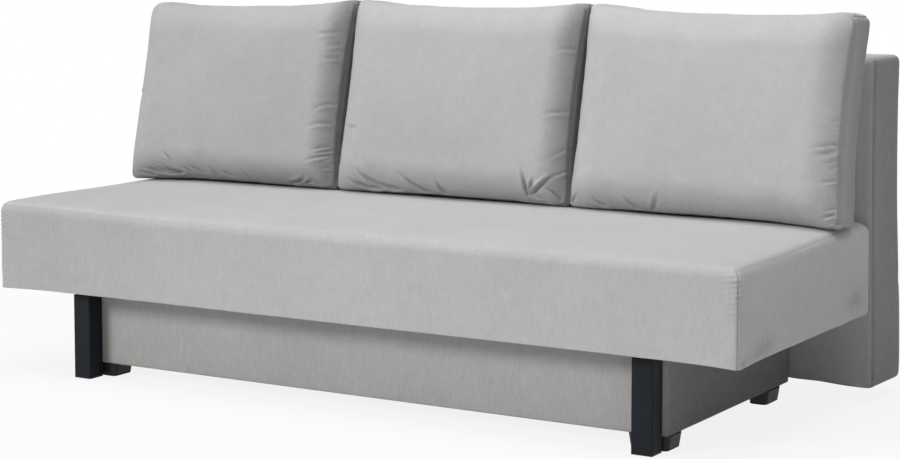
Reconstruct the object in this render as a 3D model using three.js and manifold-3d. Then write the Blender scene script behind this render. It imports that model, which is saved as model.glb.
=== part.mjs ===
// A click clack sofa bed with a storage box, three loose cushions and a back slab that folds flat.
// Millimetres. X runs along the seat, Y from the seat's front edge to the back, Z up from the floor.
import * as THREE from "three";
import { mergeVertices } from "three/addons/utils/BufferGeometryUtils.js";
import Module from "manifold-3d";

const wasm = await Module();
wasm.setup();

// Clearances.
const clear = {
  touch: 0.3, // between pieces that are fastened to each other or rest on each other
  slide: 0.5, // around the carriage's flange in its rail
  pivot: 0.25, // radial, between a stud and its eye
  beside: 1, // beside a plate that swings
  around: 2, // around a plate in its slot
};
const overrun = 5; // a cutting block passes the face that it opens by this much
const studOverhang = 1; // of a stud past the eye that it carries
const weld = 1e-4; // corners closer than this are one corner

// The seat slab.
const seat = {
  width: 2000,
  depth: 750,
  thickness: 205,
  bottom: 216,
  crown: 20,
  lean: 5, // of the sides, inwards
  edge: 26, // radius along the top
  wadding: 20, // cover and wadding over the foam
  foamSide: 16, // foam between the wadding and the frame
  railHeight: 60,
  railThickness: 25,
  slatWidth: 45,
  deck: 6,
  lining: 1.5,
  travel: 100, // forward, as the back lies down
};

// The back slab.
const slab = {
  gap: 9, // behind the seat
  width: seat.width,
  thickness: 176,
  height: 765,
  bottom: 38.5,
  crown: 4,
  edge: 18,
  wadding: 18,
  foamSide: 17,
  padding: 118, // from the front face to the frame
  frameThickness: 28,
  railHeight: 30,
  lowRail: 130, // height of the lower rail above the slab's bottom edge
  stileWidth: 40,
  stileFoot: 37, // height of the stiles' lower ends above the slab's bottom edge
  lining: 2.5,
};

// The storage box.
const box = {
  width: 1606,
  setback: 86, // behind the seat's front edge
  rearLap: 6, // in front of the seat's rear edge
  bottom: 33.4,
  seatGap: 10, // under the seat
  board: 18,
  cover: 3,
  floor: 6,
  bay: 68, // open bay for the links, behind the rear board
  rearDrop: 28, // the rear board stays this far below the side boards
};

// The feet under the box: wide ones behind its front face, and longer ones in front of its open bay.
const foot = {
  taper: 4,
  front: { width: 99, length: 77, inset: 2 },
  rear: { width: 53, length: 88, inset: 39 },
};

// The two square front legs.
const leg = {
  width: 50,
  depth: 49.2,
  wall: 2,
  corner: 3,
  inset: 13, // inside the box's side
  glide: 4,
  plug: 14,
  boltRadius: 4,
  boltHead: 9,
  boltHeadHeight: 6,
  boltReach: 4, // past the leg's rear wall
  boltHeights: [75, 135],
};

// The slide rails and the carriage.
const rail = {
  steel: 3,
  depth: 28,
  height: 163, // of the rail's middle
  start: 18, // behind the front board
  end: 3, // in front of the rear board
};
const carriage = {
  flange: 26,
  flangeThickness: 6,
  web: 6,
  stand: 3.4, // between the rail's lip and the web
  seatFlange: 20,
  seatFlangeThickness: 5,
  frontPlay: 5.7, // left in front of the rails when the seat is forward
  bar: 25,
  barInset: 3,
  earPlate: 6,
  earFoot: 28,
  earLength: 85, // of the foot along the web
};

// The hinge that lifts the seat.
const lift = {
  inset: 12, // of the axis from the seat's rear face
  drop: 26, // of the axis below the seat's top
  radius: 10,
  stud: 5,
  plate: 5,
  toFrame: 16, // from the eyes to the seat's frame
};

// The swing links that carry the back slab.
const link = {
  eyeUp: 30, // of the slab's pivot, above its bottom edge
  eyeIn: 120, // of the slab's pivot, behind its front face
  offset: 100, // of the box's pivot from the chord between the slab's two places
  crank: 18.4, // how far behind the box's pivot the bar drops
  floorGap: 10,
  width: 20,
  plate: 6,
  stud: 5,
  reach: 38, // of the box's stud, from its bracket in to the bar
  bracket: 5,
  bracketLength: 56,
  bracketHeight: 80,
  tubeRadius: 10,
  tubeBore: 7,
  tubeGrip: 14, // of the stud in the tube
  tabRise: 75,
  tabBack: 14,
};

// The frame that holds up the folded slab's far end.
const prop = {
  span: 1200,
  tube: 8,
  pivotUp: 600, // above the slab's bottom edge
  stud: 4,
  plate: 4,
  plateLength: 30,
  foot: 3,
  footWidth: 26,
  studReach: 22,
};

// The loose cushions.
const cushion = {
  count: 3,
  gap: 4,
  height: 490,
  seamDepth: 112,
  frontCrown: 36,
  rearCrown: 70,
  drawIn: 8,
  edge: 16,
  lean: 11.5, // degrees
};

// Grid steps of the padded forms.
const seatSteps = [18, 10, 5];
const slabSteps = [18, 5, 10];
const cushionSteps = [12, 5, 10];
const roundSides = 16;

// Heights and depths that follow from the sizes.
const seatTop = seat.bottom + seat.thickness;
const slabFront = seat.depth + slab.gap;
const slabRear = slabFront + slab.thickness;
const slabTop = slab.bottom + slab.height;
const boxTop = seat.bottom - box.seatGap;
const boxRear = seat.depth - box.rearLap;
const boxSide = box.width / 2;
const boardSide = boxSide - box.cover - clear.touch;
const boardInner = boardSide - box.board;
const frontBoard = box.setback + box.cover + clear.touch;
const frontBoardRear = frontBoard + box.board;
const bayFront = boxRear - box.bay;
const rearBoardTop = boxTop - box.rearDrop;

// Materials, in the photographed colours.
const velour = new THREE.MeshStandardMaterial({ color: 0xb6b3ae, roughness: 0.9, metalness: 0 });
const foam = new THREE.MeshStandardMaterial({ color: 0xe6dcb4, roughness: 0.95, metalness: 0 });
const lining = new THREE.MeshStandardMaterial({ color: 0x3a3a3c, roughness: 0.95, metalness: 0 });
const chipboard = new THREE.MeshStandardMaterial({ color: 0xc9b18a, roughness: 0.8, metalness: 0 });
const pine = new THREE.MeshStandardMaterial({ color: 0xd8b882, roughness: 0.75, metalness: 0 });
const graphite = new THREE.MeshStandardMaterial({ color: 0x2c3036, roughness: 0.5, metalness: 0.5 });
const zinc = new THREE.MeshStandardMaterial({ color: 0xa9adb1, roughness: 0.35, metalness: 0.9 });
const blackPlastic = new THREE.MeshStandardMaterial({ color: 0x1d1e20, roughness: 0.6, metalness: 0 });

// A box between two corners.
function block(low, high) {
  const [w, d, h] = high.map((v, i) => v - low[i]);
  const geometry = new THREE.BoxGeometry(w, d, h);
  return geometry.translate((low[0] + high[0]) / 2, (low[1] + high[1]) / 2, (low[2] + high[2]) / 2);
}

// A box whose X span is given on the right side and mirrored for the left one.
function sideBlock(side, [inner, outer], [y0, y1], [z0, z1]) {
  const xs = [side * inner, side * outer].sort((a, b) => a - b);
  return block([xs[0], y0, z0], [xs[1], y1, z1]);
}

// An outline drawn in Y and Z, extruded along X.
function plateAlongX(shape, x0, x1) {
  const depth = Math.abs(x1 - x0);
  const geometry = new THREE.ExtrudeGeometry(shape, { depth, bevelEnabled: false, curveSegments: 8 });
  const turn = new THREE.Matrix4().makeBasis(
    new THREE.Vector3(0, 1, 0),
    new THREE.Vector3(0, 0, 1),
    new THREE.Vector3(1, 0, 0),
  );
  return geometry.applyMatrix4(turn).translate(Math.min(x0, x1), 0, 0);
}

// An outline drawn in X and Z, extruded along Y.
function profileAlongY(points, y0, y1) {
  const shape = new THREE.Shape(points.map(([x, z]) => new THREE.Vector2(x, z)));
  const geometry = new THREE.ExtrudeGeometry(shape, { depth: y1 - y0, bevelEnabled: false });
  const turn = new THREE.Matrix4().makeBasis(
    new THREE.Vector3(1, 0, 0),
    new THREE.Vector3(0, 0, 1),
    new THREE.Vector3(0, -1, 0),
  );
  return geometry.applyMatrix4(turn).translate(0, y1, 0);
}

// A round bar along X, Y or Z.
function rod(axis, radius, from, to, [a, b]) {
  const geometry = new THREE.CylinderGeometry(radius, radius, Math.abs(to - from), roundSides);
  const middle = (from + to) / 2;
  if (axis === "x") return geometry.rotateZ(Math.PI / 2).translate(middle, a, b);
  if (axis === "y") return geometry.translate(a, middle, b);
  return geometry.rotateX(Math.PI / 2).translate(a, b, middle);
}

// A bar with round ends between two points in Y and Z.
function roundBar([y0, z0], [y1, z1], radius) {
  const along = Math.atan2(z1 - z0, y1 - y0);
  const shape = new THREE.Shape();
  shape.absarc(y0, z0, radius, along + Math.PI / 2, along + (3 * Math.PI) / 2, false);
  shape.absarc(y1, z1, radius, along - Math.PI / 2, along + Math.PI / 2, false);
  shape.closePath();
  return shape;
}

// Solids for joining and cutting.
function solidOf(geometry) {
  const bare = geometry.clone();
  bare.deleteAttribute("normal");
  bare.deleteAttribute("uv");
  const merged = mergeVertices(bare, weld);
  return new wasm.Manifold(
    new wasm.Mesh({
      numProp: 3,
      vertProperties: new Float32Array(merged.attributes.position.array),
      triVerts: new Uint32Array(merged.index.array),
    }),
  );
}

function geometryOf(solid) {
  const mesh = solid.getMesh();
  const geometry = new THREE.BufferGeometry();
  geometry.setAttribute("position", new THREE.BufferAttribute(new Float32Array(mesh.vertProperties), 3));
  geometry.setIndex(new THREE.BufferAttribute(new Uint32Array(mesh.triVerts), 1));
  geometry.computeVertexNormals();
  return geometry;
}

function join(...geometries) {
  return geometryOf(geometries.map(solidOf).reduce((a, b) => a.add(b)));
}

function cut(geometry, ...tools) {
  return geometryOf(tools.map(solidOf).reduce((a, b) => a.subtract(b), solidOf(geometry)));
}

// Grid lines across a padded form: evenly spaced, with two lines close to each rounded edge.
function gridLine(step, steps, half, lowRadius, highRadius) {
  const arcShare = 1 - Math.tan(Math.PI / 8);
  const low = lowRadius ? [-half, -half + lowRadius * arcShare, -half + lowRadius] : [-half];
  const high = highRadius ? [half - highRadius, half - highRadius * arcShare, half] : [half];
  const inner = steps + 1 - low.length - high.length;
  const from = low[low.length - 1];
  const to = high[0];
  const middle = Array.from({ length: inner }, (_, i) => from + ((to - from) * (i + 1)) / (inner + 1));
  return [...low, ...middle, ...high][step];
}

// A padded block centred on zero. Its edges are round, apart from those of the faces named in square.
// swell moves the middle of each face out, or in where it is negative.
function padded([w, d, h], steps, radius, { square = [], swell = {} }) {
  const half = [w / 2, d / 2, h / 2];
  const sides = ["x", "y", "z"].map((axis) => ["Low", "High"].map((end) => axis + end));
  const radii = sides.map((ends) => ends.map((face) => (square.includes(face) ? 0 : radius)));
  const swells = sides.map((ends) => ends.map((face) => swell[face] ?? 0));
  const geometry = new THREE.BoxGeometry(...steps, ...steps);
  const position = geometry.attributes.position;
  for (let i = 0; i < position.count; i++) {
    const point = steps.map((n, axis) =>
      gridLine(Math.round(position.getComponent(i, axis) + n / 2), n, half[axis], ...radii[axis]),
    );
    const core = point.map((v, axis) =>
      THREE.MathUtils.clamp(v, -half[axis] + radii[axis][0], half[axis] - radii[axis][1]),
    );
    const away = Math.hypot(...point.map((v, axis) => v - core[axis]));
    const round = away > 0 ? core.map((v, axis) => v + ((point[axis] - v) * radius) / away) : point;
    const bulge = round.map((v, axis) => {
      const others = [0, 1, 2].filter((other) => other !== axis);
      const middle = others.reduce((share, other) => share * (1 - (round[other] / half[other]) ** 2), 1);
      const high = (1 + v / half[axis]) / 2;
      return middle * (swells[axis][1] * high - swells[axis][0] * (1 - high));
    });
    position.setXYZ(i, ...round.map((v, axis) => v + bulge[axis]));
  }
  return geometry;
}

const sofa = new THREE.Group();
const base = new THREE.Group();
const links = new THREE.Group();
const runner = new THREE.Group();
const lid = new THREE.Group();
const back = new THREE.Group();
const cushions = new THREE.Group();
sofa.add(base, links, runner, lid, back, cushions);

function add(group, name, geometry, material) {
  const mesh = new THREE.Mesh(geometry, material);
  mesh.name = name;
  group.add(mesh);
  return mesh;
}

const bothSides = [
  ["left", -1],
  ["right", 1],
];

// The box: five boards and three covered faces, open at the top.
function buildBox() {
  const bolts = bothSides.flatMap(([, side]) =>
    leg.boltHeights.map((z) => {
      const ends = [box.setback - overrun, frontBoardRear + overrun];
      return rod("y", leg.boltRadius + clear.touch, ...ends, [side * legMiddle, z]);
    }),
  );
  const z = [box.bottom, boxTop];
  const y = [frontBoardRear + clear.touch, boxRear];
  const frontCover = block([-boxSide, box.setback, z[0]], [boxSide, box.setback + box.cover, z[1]]);
  const frontPanel = block([-boardSide, frontBoard, z[0]], [boardSide, frontBoardRear, z[1]]);
  add(base, "box_front_cover", cut(frontCover, ...bolts), velour);
  add(base, "box_front_board", cut(frontPanel, ...bolts), chipboard);
  for (const [name, side] of bothSides) {
    const cover = sideBlock(side, [boxSide - box.cover, boxSide], [frontBoard, boxRear], z);
    add(base, `box_${name}_cover`, cover, velour);
    add(base, `box_${name}_board`, sideBlock(side, [boardInner, boardSide], y, z), chipboard);
  }
  const inner = boardInner - clear.touch;
  const rear = [bayFront - box.board, bayFront];
  const rearBoard = block([-inner, rear[0], z[0]], [inner, rear[1], rearBoardTop]);
  add(base, "box_rear_board", rearBoard, chipboard);
  const floorRear = rear[0] - clear.touch;
  add(base, "box_floor", block([-inner, y[0], z[0]], [inner, floorRear, z[0] + box.floor]), chipboard);
}

// Four low feet, narrower at the floor.
function buildFeet() {
  const height = box.bottom - clear.touch;
  const { front, rear } = foot;
  const rows = [
    ["front", front, box.setback + front.inset],
    ["rear", rear, boxRear - rear.inset - rear.length],
  ];
  for (const [row, { width, length }, y] of rows) {
    for (const [name, side] of bothSides) {
      const geometry = new THREE.BoxGeometry(width, length, height);
      const position = geometry.attributes.position;
      for (let i = 0; i < position.count; i++) {
        if (position.getZ(i) > 0) continue;
        position.setX(i, position.getX(i) * (1 - (2 * foot.taper) / width));
        position.setY(i, position.getY(i) * (1 - (2 * foot.taper) / length));
      }
      const mesh = add(base, `foot_${row}_${name}`, geometry, blackPlastic);
      mesh.position.set(side * (boxSide - width / 2), y + length / 2, height / 2);
    }
  }
}

// Square tube legs against the box's front, each with a plastic glide and two bolts from inside the box.
const legMiddle = boxSide - leg.inset - leg.width / 2;
const legRear = box.setback - clear.touch;
const legFront = legRear - leg.depth;

function roundedRectangle(Path, x0, y0, x1, y1, r) {
  const path = new Path();
  path.moveTo(x0 + r, y0);
  path.absarc(x1 - r, y0 + r, r, -Math.PI / 2, 0, false);
  path.absarc(x1 - r, y1 - r, r, 0, Math.PI / 2, false);
  path.absarc(x0 + r, y1 - r, r, Math.PI / 2, Math.PI, false);
  path.absarc(x0 + r, y0 + r, r, Math.PI, (3 * Math.PI) / 2, false);
  return path;
}

function prism(shape, z0, z1) {
  const depth = z1 - z0;
  const geometry = new THREE.ExtrudeGeometry(shape, { depth, bevelEnabled: false, curveSegments: 3 });
  return geometry.translate(0, 0, z0);
}

function buildLegs() {
  for (const [name, side] of bothSides) {
    const x0 = side * legMiddle - leg.width / 2;
    const x1 = side * legMiddle + leg.width / 2;
    const outline = roundedRectangle(THREE.Shape, x0, legFront, x1, legRear, leg.corner);
    const wall = leg.wall;
    const bore = [x0 + wall, legFront + wall, x1 - wall, legRear - wall];
    const tube = outline.clone();
    tube.holes.push(roundedRectangle(THREE.Path, ...bore, leg.corner - wall));
    const holes = leg.boltHeights.map((z) => {
      const ends = [legRear - wall - overrun, legRear + overrun];
      return rod("y", leg.boltRadius + clear.touch, ...ends, [side * legMiddle, z]);
    });
    add(base, `leg_${name}`, cut(prism(tube, leg.glide, boxTop), ...holes), graphite);

    const sole = prism(outline, 0, leg.glide - clear.touch);
    const low = [bore[0] + clear.touch, bore[1] + clear.touch, leg.glide / 2];
    const high = [bore[2] - clear.touch, bore[3] - clear.touch, leg.glide + leg.plug];
    const plug = block(low, high);
    add(base, `leg_glide_${name}`, join(sole, plug), blackPlastic);

    leg.boltHeights.forEach((z, i) => {
      const headFront = frontBoardRear + clear.touch;
      const headRear = headFront + leg.boltHeadHeight;
      const shankFront = legRear - wall - leg.boltReach;
      const shankRear = headRear - leg.boltHeadHeight / 2;
      const shank = rod("y", leg.boltRadius, shankFront, shankRear, [side * legMiddle, z]);
      const head = rod("y", leg.boltHead, headFront, headRear, [side * legMiddle, z]);
      add(base, `leg_bolt_${name}_${["lower", "upper"][i]}`, join(shank, head), zinc);
    });
  }
}

// Channel rails on the side boards, and the carriage that runs in them.
const railOuter = boardInner - clear.touch;
const railInner = railOuter - rail.depth;
const railEnd = bayFront - box.board - rail.end;
const webOuter = railInner - carriage.stand;
const webInner = webOuter - carriage.web;
const carriageFront = frontBoardRear + seat.travel + carriage.frontPlay;
const carriageTop = seat.bottom - clear.touch;
const barTop = carriageTop - carriage.seatFlangeThickness - clear.touch;

function buildSlides() {
  const gapHalf = carriage.flangeThickness / 2 + clear.slide;
  const low = rail.height - gapHalf;
  const high = rail.height + gapHalf;
  const flangeLow = rail.height - carriage.flangeThickness / 2;
  const flangeHigh = rail.height + carriage.flangeThickness / 2;
  const seatFlangeLow = carriageTop - carriage.seatFlangeThickness;
  for (const [name, side] of bothSides) {
    const channel = [
      [railInner, low - rail.steel],
      [railOuter, low - rail.steel],
      [railOuter, high + rail.steel],
      [railInner, high + rail.steel],
      [railInner, high],
      [railOuter - rail.steel, high],
      [railOuter - rail.steel, low],
      [railInner, low],
    ].map(([x, z]) => [side * x, z]);
    add(base, `slide_rail_${name}`, profileAlongY(channel, frontBoardRear + rail.start, railEnd), zinc);

    const beam = [
      [webInner, flangeLow],
      [webOuter + carriage.flange, flangeLow],
      [webOuter + carriage.flange, flangeHigh],
      [webOuter, flangeHigh],
      [webOuter, carriageTop],
      [webInner - carriage.seatFlange, carriageTop],
      [webInner - carriage.seatFlange, seatFlangeLow],
      [webInner, seatFlangeLow],
    ].map(([x, z]) => [side * x, z]);
    add(runner, `carriage_rail_${name}`, profileAlongY(beam, carriageFront, railEnd), zinc);
  }
  const barSide = webInner - clear.touch;
  const earFront = railEnd - carriage.earLength;
  const bars = [
    ["front", carriageFront + carriage.barInset],
    ["rear", earFront - carriage.barInset - carriage.bar],
  ];
  for (const [name, y] of bars) {
    const bar = block([-barSide, y, barTop - carriage.bar], [barSide, y + carriage.bar, barTop]);
    add(runner, `carriage_bar_${name}`, bar, zinc);
  }
}

// The seat's hinge: an ear on the carriage, in a slot in the seat's rear face,
// and a plate with a stud on the seat's frame.
const liftAxis = { y: seat.depth - lift.inset, z: seatTop - lift.drop };
const earOuter = webInner - clear.touch;
const earInner = earOuter - carriage.earPlate;
const hingeInner = earOuter + clear.beside;
const hingeOuter = hingeInner + lift.plate;
const cavityFront = seat.wadding + seat.foamSide;
const cavityRear = liftAxis.y - lift.radius - lift.toFrame;

function buildHinges() {
  const eye = [liftAxis.y, liftAxis.z];
  const earBottom = barTop - carriage.earFoot;
  const earFront = railEnd - carriage.earLength;
  const hole = lift.stud + clear.pivot;
  for (const [name, side] of bothSides) {
    const outline = new THREE.Shape();
    outline.moveTo(earFront, earBottom);
    outline.lineTo(eye[0] + lift.radius, earBottom);
    outline.absarc(eye[0], eye[1], lift.radius, 0, Math.PI, false);
    outline.lineTo(eye[0] - lift.radius, barTop);
    outline.lineTo(earFront, barTop);
    outline.closePath();
    const ear = plateAlongX(outline, side * earInner, side * earOuter);
    const bore = rod("x", hole, side * (earInner - overrun), side * (earOuter + overrun), eye);
    add(runner, `seat_ear_${name}`, cut(ear, bore), zinc);

    const root = cavityRear + clear.touch;
    const railLow = seat.bottom + seat.lining + clear.touch;
    const arm = new THREE.Shape();
    arm.moveTo(root, railLow);
    arm.lineTo(root + lift.plate, railLow);
    arm.lineTo(eye[0] + lift.radius, eye[1] - seat.railHeight);
    arm.absarc(eye[0], eye[1], lift.radius, 0, Math.PI, false);
    arm.lineTo(eye[0] - lift.radius, eye[1] - seat.railHeight);
    arm.lineTo(root, railLow + seat.railHeight);
    arm.closePath();
    const plate = plateAlongX(arm, side * hingeInner, side * hingeOuter);
    const studEnds = [side * (earInner - studOverhang), side * (hingeInner + lift.plate / 2)];
    const stud = rod("x", lift.stud, ...studEnds, eye);
    add(lid, `seat_hinge_${name}`, join(plate, stud), zinc);
  }
}

// The seat: a velour cover with wadding, foam, a wooden frame with its deck, and a lining under it.
function buildSeat() {
  const middle = [0, seat.depth / 2, seat.bottom + seat.thickness / 2];
  const form = padded([seat.width, seat.depth, seat.thickness], seatSteps, seat.edge, {
    square: ["zLow"],
    swell: { zHigh: seat.crown, xLow: -seat.lean, xHigh: -seat.lean },
  }).translate(...middle);
  const side = seat.width / 2;
  const railLow = seat.bottom + seat.lining + clear.touch;
  const deckLow = railLow + seat.railHeight + clear.touch;
  const foamSide = side - seat.wadding;
  const foamEnds = [seat.wadding, seat.depth - seat.wadding];
  const foamTop = seatTop - seat.wadding;
  const frameSide = foamSide - seat.foamSide;
  const below = seat.bottom - overrun;
  const slotSides = [earInner - clear.around, hingeOuter + clear.around];
  const slotTop = liftAxis.z + lift.radius + clear.around;
  const slots = bothSides.map(([, s]) =>
    sideBlock(s, slotSides, [cavityRear, seat.depth + seat.edge], [below, slotTop]),
  );
  const foamSpace = block([-foamSide, foamEnds[0], below], [foamSide, foamEnds[1], foamTop]);
  add(lid, "seat_cover", cut(form, foamSpace, ...slots), velour);

  const t = clear.touch;
  const foamLow = [t - foamSide, foamEnds[0] + t, seat.bottom];
  const foamHigh = [foamSide - t, foamEnds[1] - t, foamTop - t];
  const foamBlock = block(foamLow, foamHigh);
  const frameTop = deckLow + seat.deck + t;
  const frameSpace = block([-frameSide, cavityFront, below], [frameSide, cavityRear, frameTop]);
  add(lid, "seat_foam", cut(foamBlock, frameSpace, ...slots), foam);

  const frame = [frameSide - t, cavityFront + t, cavityRear - t];
  const z = [railLow, railLow + seat.railHeight];
  const thick = seat.railThickness;
  const frontRail = block([-frame[0], frame[1], z[0]], [frame[0], frame[1] + thick, z[1]]);
  const rearRail = block([-frame[0], frame[2] - thick, z[0]], [frame[0], frame[2], z[1]]);
  add(lid, "seat_rail_front", frontRail, pine);
  add(lid, "seat_rail_rear", rearRail, pine);
  const between = [frame[1] + thick + t, frame[2] - thick - t];
  for (const [name, s] of bothSides) {
    add(lid, `seat_rail_${name}`, sideBlock(s, [frame[0] - thick, frame[0]], between, z), pine);
    const slatMiddle = frame[0] / cushion.count;
    const slat = [slatMiddle - seat.slatWidth / 2, slatMiddle + seat.slatWidth / 2];
    add(lid, `seat_slat_${name}`, sideBlock(s, slat, between, z), pine);
  }
  const deck = block([-frame[0], frame[1], deckLow], [frame[0], frame[2], deckLow + seat.deck]);
  add(lid, "seat_deck", deck, chipboard);
  const sheet = [seat.bottom, seat.bottom + seat.lining];
  const under = block([-frame[0], frame[1], sheet[0]], [frame[0], frame[2], sheet[1]]);
  add(lid, "seat_lining", under, lining);
}

// Places of the slab's pivot on the links: upright, and lying flat behind the seat that has slid forward.
const eyeUpright = { y: slabFront + link.eyeIn, z: slab.bottom + link.eyeUp };
const eyeFlat = { y: slabFront - seat.travel + link.eyeUp, z: seatTop - link.eyeIn };

// The box's pivot is as far from both places, on the side of the box.
// The links swing by the angle between them.
function findPivot() {
  const dy = eyeFlat.y - eyeUpright.y;
  const dz = eyeFlat.z - eyeUpright.z;
  const chord = Math.hypot(dy, dz);
  return {
    y: (eyeUpright.y + eyeFlat.y) / 2 - (dz / chord) * link.offset,
    z: (eyeUpright.z + eyeFlat.z) / 2 + (dy / chord) * link.offset,
    swing: 2 * Math.atan2(chord / 2, link.offset),
  };
}
const pivot = findPivot();
const bracketInner = boardInner - clear.touch - link.bracket;
const linkOuter = bracketInner - link.reach;
const linkInner = linkOuter - link.plate;
const tabOuter = linkInner - clear.beside;
const tabInner = tabOuter - link.bracket;

function buildLinks() {
  const eyes = [
    [pivot.y, pivot.z],
    [pivot.y + link.crank, link.floorGap + link.width / 2],
    [eyeUpright.y, link.floorGap + link.width / 2],
    [eyeUpright.y, eyeUpright.z],
  ];
  const hole = link.stud + clear.pivot;
  for (const [name, side] of bothSides) {
    const xs = [side * linkInner, side * linkOuter];
    const bars = eyes.slice(1).map((eye, i) => plateAlongX(roundBar(eyes[i], eye, link.width / 2), ...xs));
    const past = [xs[0] - side * overrun, xs[1] + side * overrun];
    const bores = [eyes[0], eyes[3]].map((eye) => rod("x", hole, ...past, eye));
    add(links, `swing_link_${name}`, cut(join(...bars), ...bores), zinc);

    const y0 = pivot.y - link.bracketLength / 2;
    const z0 = pivot.z - link.bracketHeight / 2;
    const wall = [bracketInner, bracketInner + link.bracket];
    const plate = sideBlock(side, wall, [y0, y0 + link.bracketLength], [z0, z0 + link.bracketHeight]);
    const studEnd = linkInner - clear.touch - link.tubeGrip;
    const stud = rod("x", link.stud, side * studEnd, side * (bracketInner + link.bracket / 2), eyes[0]);
    add(base, `link_bracket_${name}`, join(plate, stud), zinc);
  }
  const end = linkInner - clear.touch;
  const tube = rod("x", link.tubeRadius, -end, end, eyes[0]);
  const bore = rod("x", link.tubeBore, -end - overrun, end + overrun, eyes[0]);
  add(links, "link_cross_tube", cut(tube, bore), zinc);
}

// The back slab: cover, foam, frame and rear lining, with a pocket for each swing link.
function buildBack() {
  const side = slab.width / 2;
  const form = padded([slab.width, slab.thickness, slab.height], slabSteps, slab.edge, {
    swell: { yLow: slab.crown, zHigh: slab.crown, xLow: -slab.crown, xHigh: -slab.crown },
  }).translate(0, slabFront + slab.thickness / 2, slab.bottom + slab.height / 2);
  const t = clear.touch;
  const coreSide = side - slab.wadding;
  const core = [slab.bottom + slab.wadding, slabTop - slab.wadding];
  const coreFront = slabFront + slab.wadding;
  const frameFront = slabFront + slab.padding;
  const frameRear = frameFront + slab.frameThickness;
  const behind = slabRear + overrun;
  const halfLink = link.width / 2 + clear.around;
  const pocketTop = slab.bottom + link.eyeUp + link.tabRise + halfLink;
  const pocketSides = [tabInner - clear.touch, linkOuter + clear.around];
  // On the flat slab a link's elbow lies past the pivot, towards the slab's front face.
  const elbow = eyeUpright.z - link.floorGap - link.width / 2;
  const elbowReach = elbow * Math.sin(pivot.swing - Math.PI / 2) + link.width / 2;
  const pocketFront = eyeUpright.y - elbowReach - clear.around;
  const pockets = bothSides.map(([, s]) =>
    sideBlock(s, pocketSides, [pocketFront, behind], [slab.bottom - overrun, pocketTop]),
  );
  const coreSpace = block([-coreSide, coreFront, core[0]], [coreSide, behind, core[1]]);
  add(back, "back_cover", cut(form, coreSpace, ...pockets), velour);

  const frameSide = coreSide - slab.foamSide;
  const frameEnds = [core[0] + slab.foamSide, core[1] - slab.foamSide];
  const foamLow = [t - coreSide, coreFront + t, core[0] + t];
  const foamBlock = block(foamLow, [coreSide - t, frameRear, core[1] - t]);
  const frameSpace = block([-frameSide, frameFront, frameEnds[0]], [frameSide, behind, frameEnds[1]]);
  add(back, "back_foam", cut(foamBlock, frameSpace, ...pockets), foam);

  const y = [frameFront + t, frameRear - t];
  const high = frameEnds[1] - t;
  const stileOuter = tabInner - clear.touch;
  const stileInner = stileOuter - slab.stileWidth;
  const lowRail = slab.bottom + slab.lowRail;
  const railSide = frameSide - t;
  const topRail = block([-railSide, y[0], high - slab.railHeight], [railSide, y[1], high]);
  add(back, "back_rail_top", topRail, pine);
  const lowSide = stileInner - t;
  const bottomRail = block([-lowSide, y[0], lowRail], [lowSide, y[1], lowRail + slab.railHeight]);
  add(back, "back_rail_bottom", bottomRail, pine);
  for (const [name, s] of bothSides) {
    const stile = [slab.bottom + slab.stileFoot, high - slab.railHeight - t];
    add(back, `back_stile_${name}`, sideBlock(s, [stileInner, stileOuter], y, stile), pine);

    const eye = [eyeUpright.y, eyeUpright.z];
    const top = [eye[0] + link.tabBack, eye[1] + link.tabRise - link.width / 2];
    const tab = plateAlongX(roundBar(eye, top, link.width / 2), s * tabInner, s * tabOuter);
    const studEnds = [s * (tabOuter - link.bracket / 2), s * (linkOuter + studOverhang)];
    const stud = rod("x", link.stud, ...studEnds, eye);
    add(back, `back_bracket_${name}`, join(tab, stud), zinc);
  }
  const sheetLow = [t - coreSide, frameRear + t, core[0] + t];
  const sheet = block(sheetLow, [coreSide - t, frameRear + t + slab.lining, core[1] - t]);
  add(back, "back_lining", cut(sheet, ...pockets), velour);
}

// A tube frame in the recess behind the slab, which hangs down as the slab lies flat and stands on the floor.
function buildProp() {
  const liningRear = slabFront + slab.padding + slab.frameThickness + clear.touch + slab.lining;
  const y = (liningRear + slabRear) / 2;
  const z = slab.bottom + prop.pivotUp;
  const flatHeight = seatTop - (y - slabFront);
  const drop = flatHeight - prop.tube - clear.slide;
  const legX = prop.span / 2;
  const bore = prop.stud + clear.pivot;
  const legs = bothSides.map(([, side]) => rod("z", prop.tube, z - drop, z + prop.tube, [side * legX, y]));
  const bar = rod("x", prop.tube, -legX - prop.tube, legX + prop.tube, [y, z - drop]);
  const bores = bothSides.map(([, side]) =>
    rod("x", bore, side * (legX - prop.tube - overrun), side * (legX + prop.tube + overrun), [y, z]),
  );
  add(back, "support_frame", cut(join(bar, ...legs), ...bores), graphite);
  for (const [name, side] of bothSides) {
    const inner = legX + prop.tube + clear.beside;
    const ends = [z - prop.plateLength / 2, z + prop.plateLength / 2];
    const face = liningRear + clear.touch;
    const ear = sideBlock(side, [inner, inner + prop.plate], [face, y + prop.tube], ends);
    const sole = sideBlock(side, [inner, inner + prop.footWidth], [face, face + prop.foot], ends);
    const studEnds = [side * (inner + prop.plate / 2), side * (inner - prop.studReach)];
    const stud = rod("x", prop.stud, ...studEnds, [y, z]);
    add(back, `support_pivot_${name}`, join(ear, sole, stud), zinc);
  }
}

// Height of the crowned seat under a point of a cushion.
function seatHeight(x, y) {
  const across = 1 - (x / (seat.width / 2)) ** 2;
  const along = 1 - (y / (seat.depth / 2) - 1) ** 2;
  return seatTop + seat.crown * across * along;
}

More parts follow.
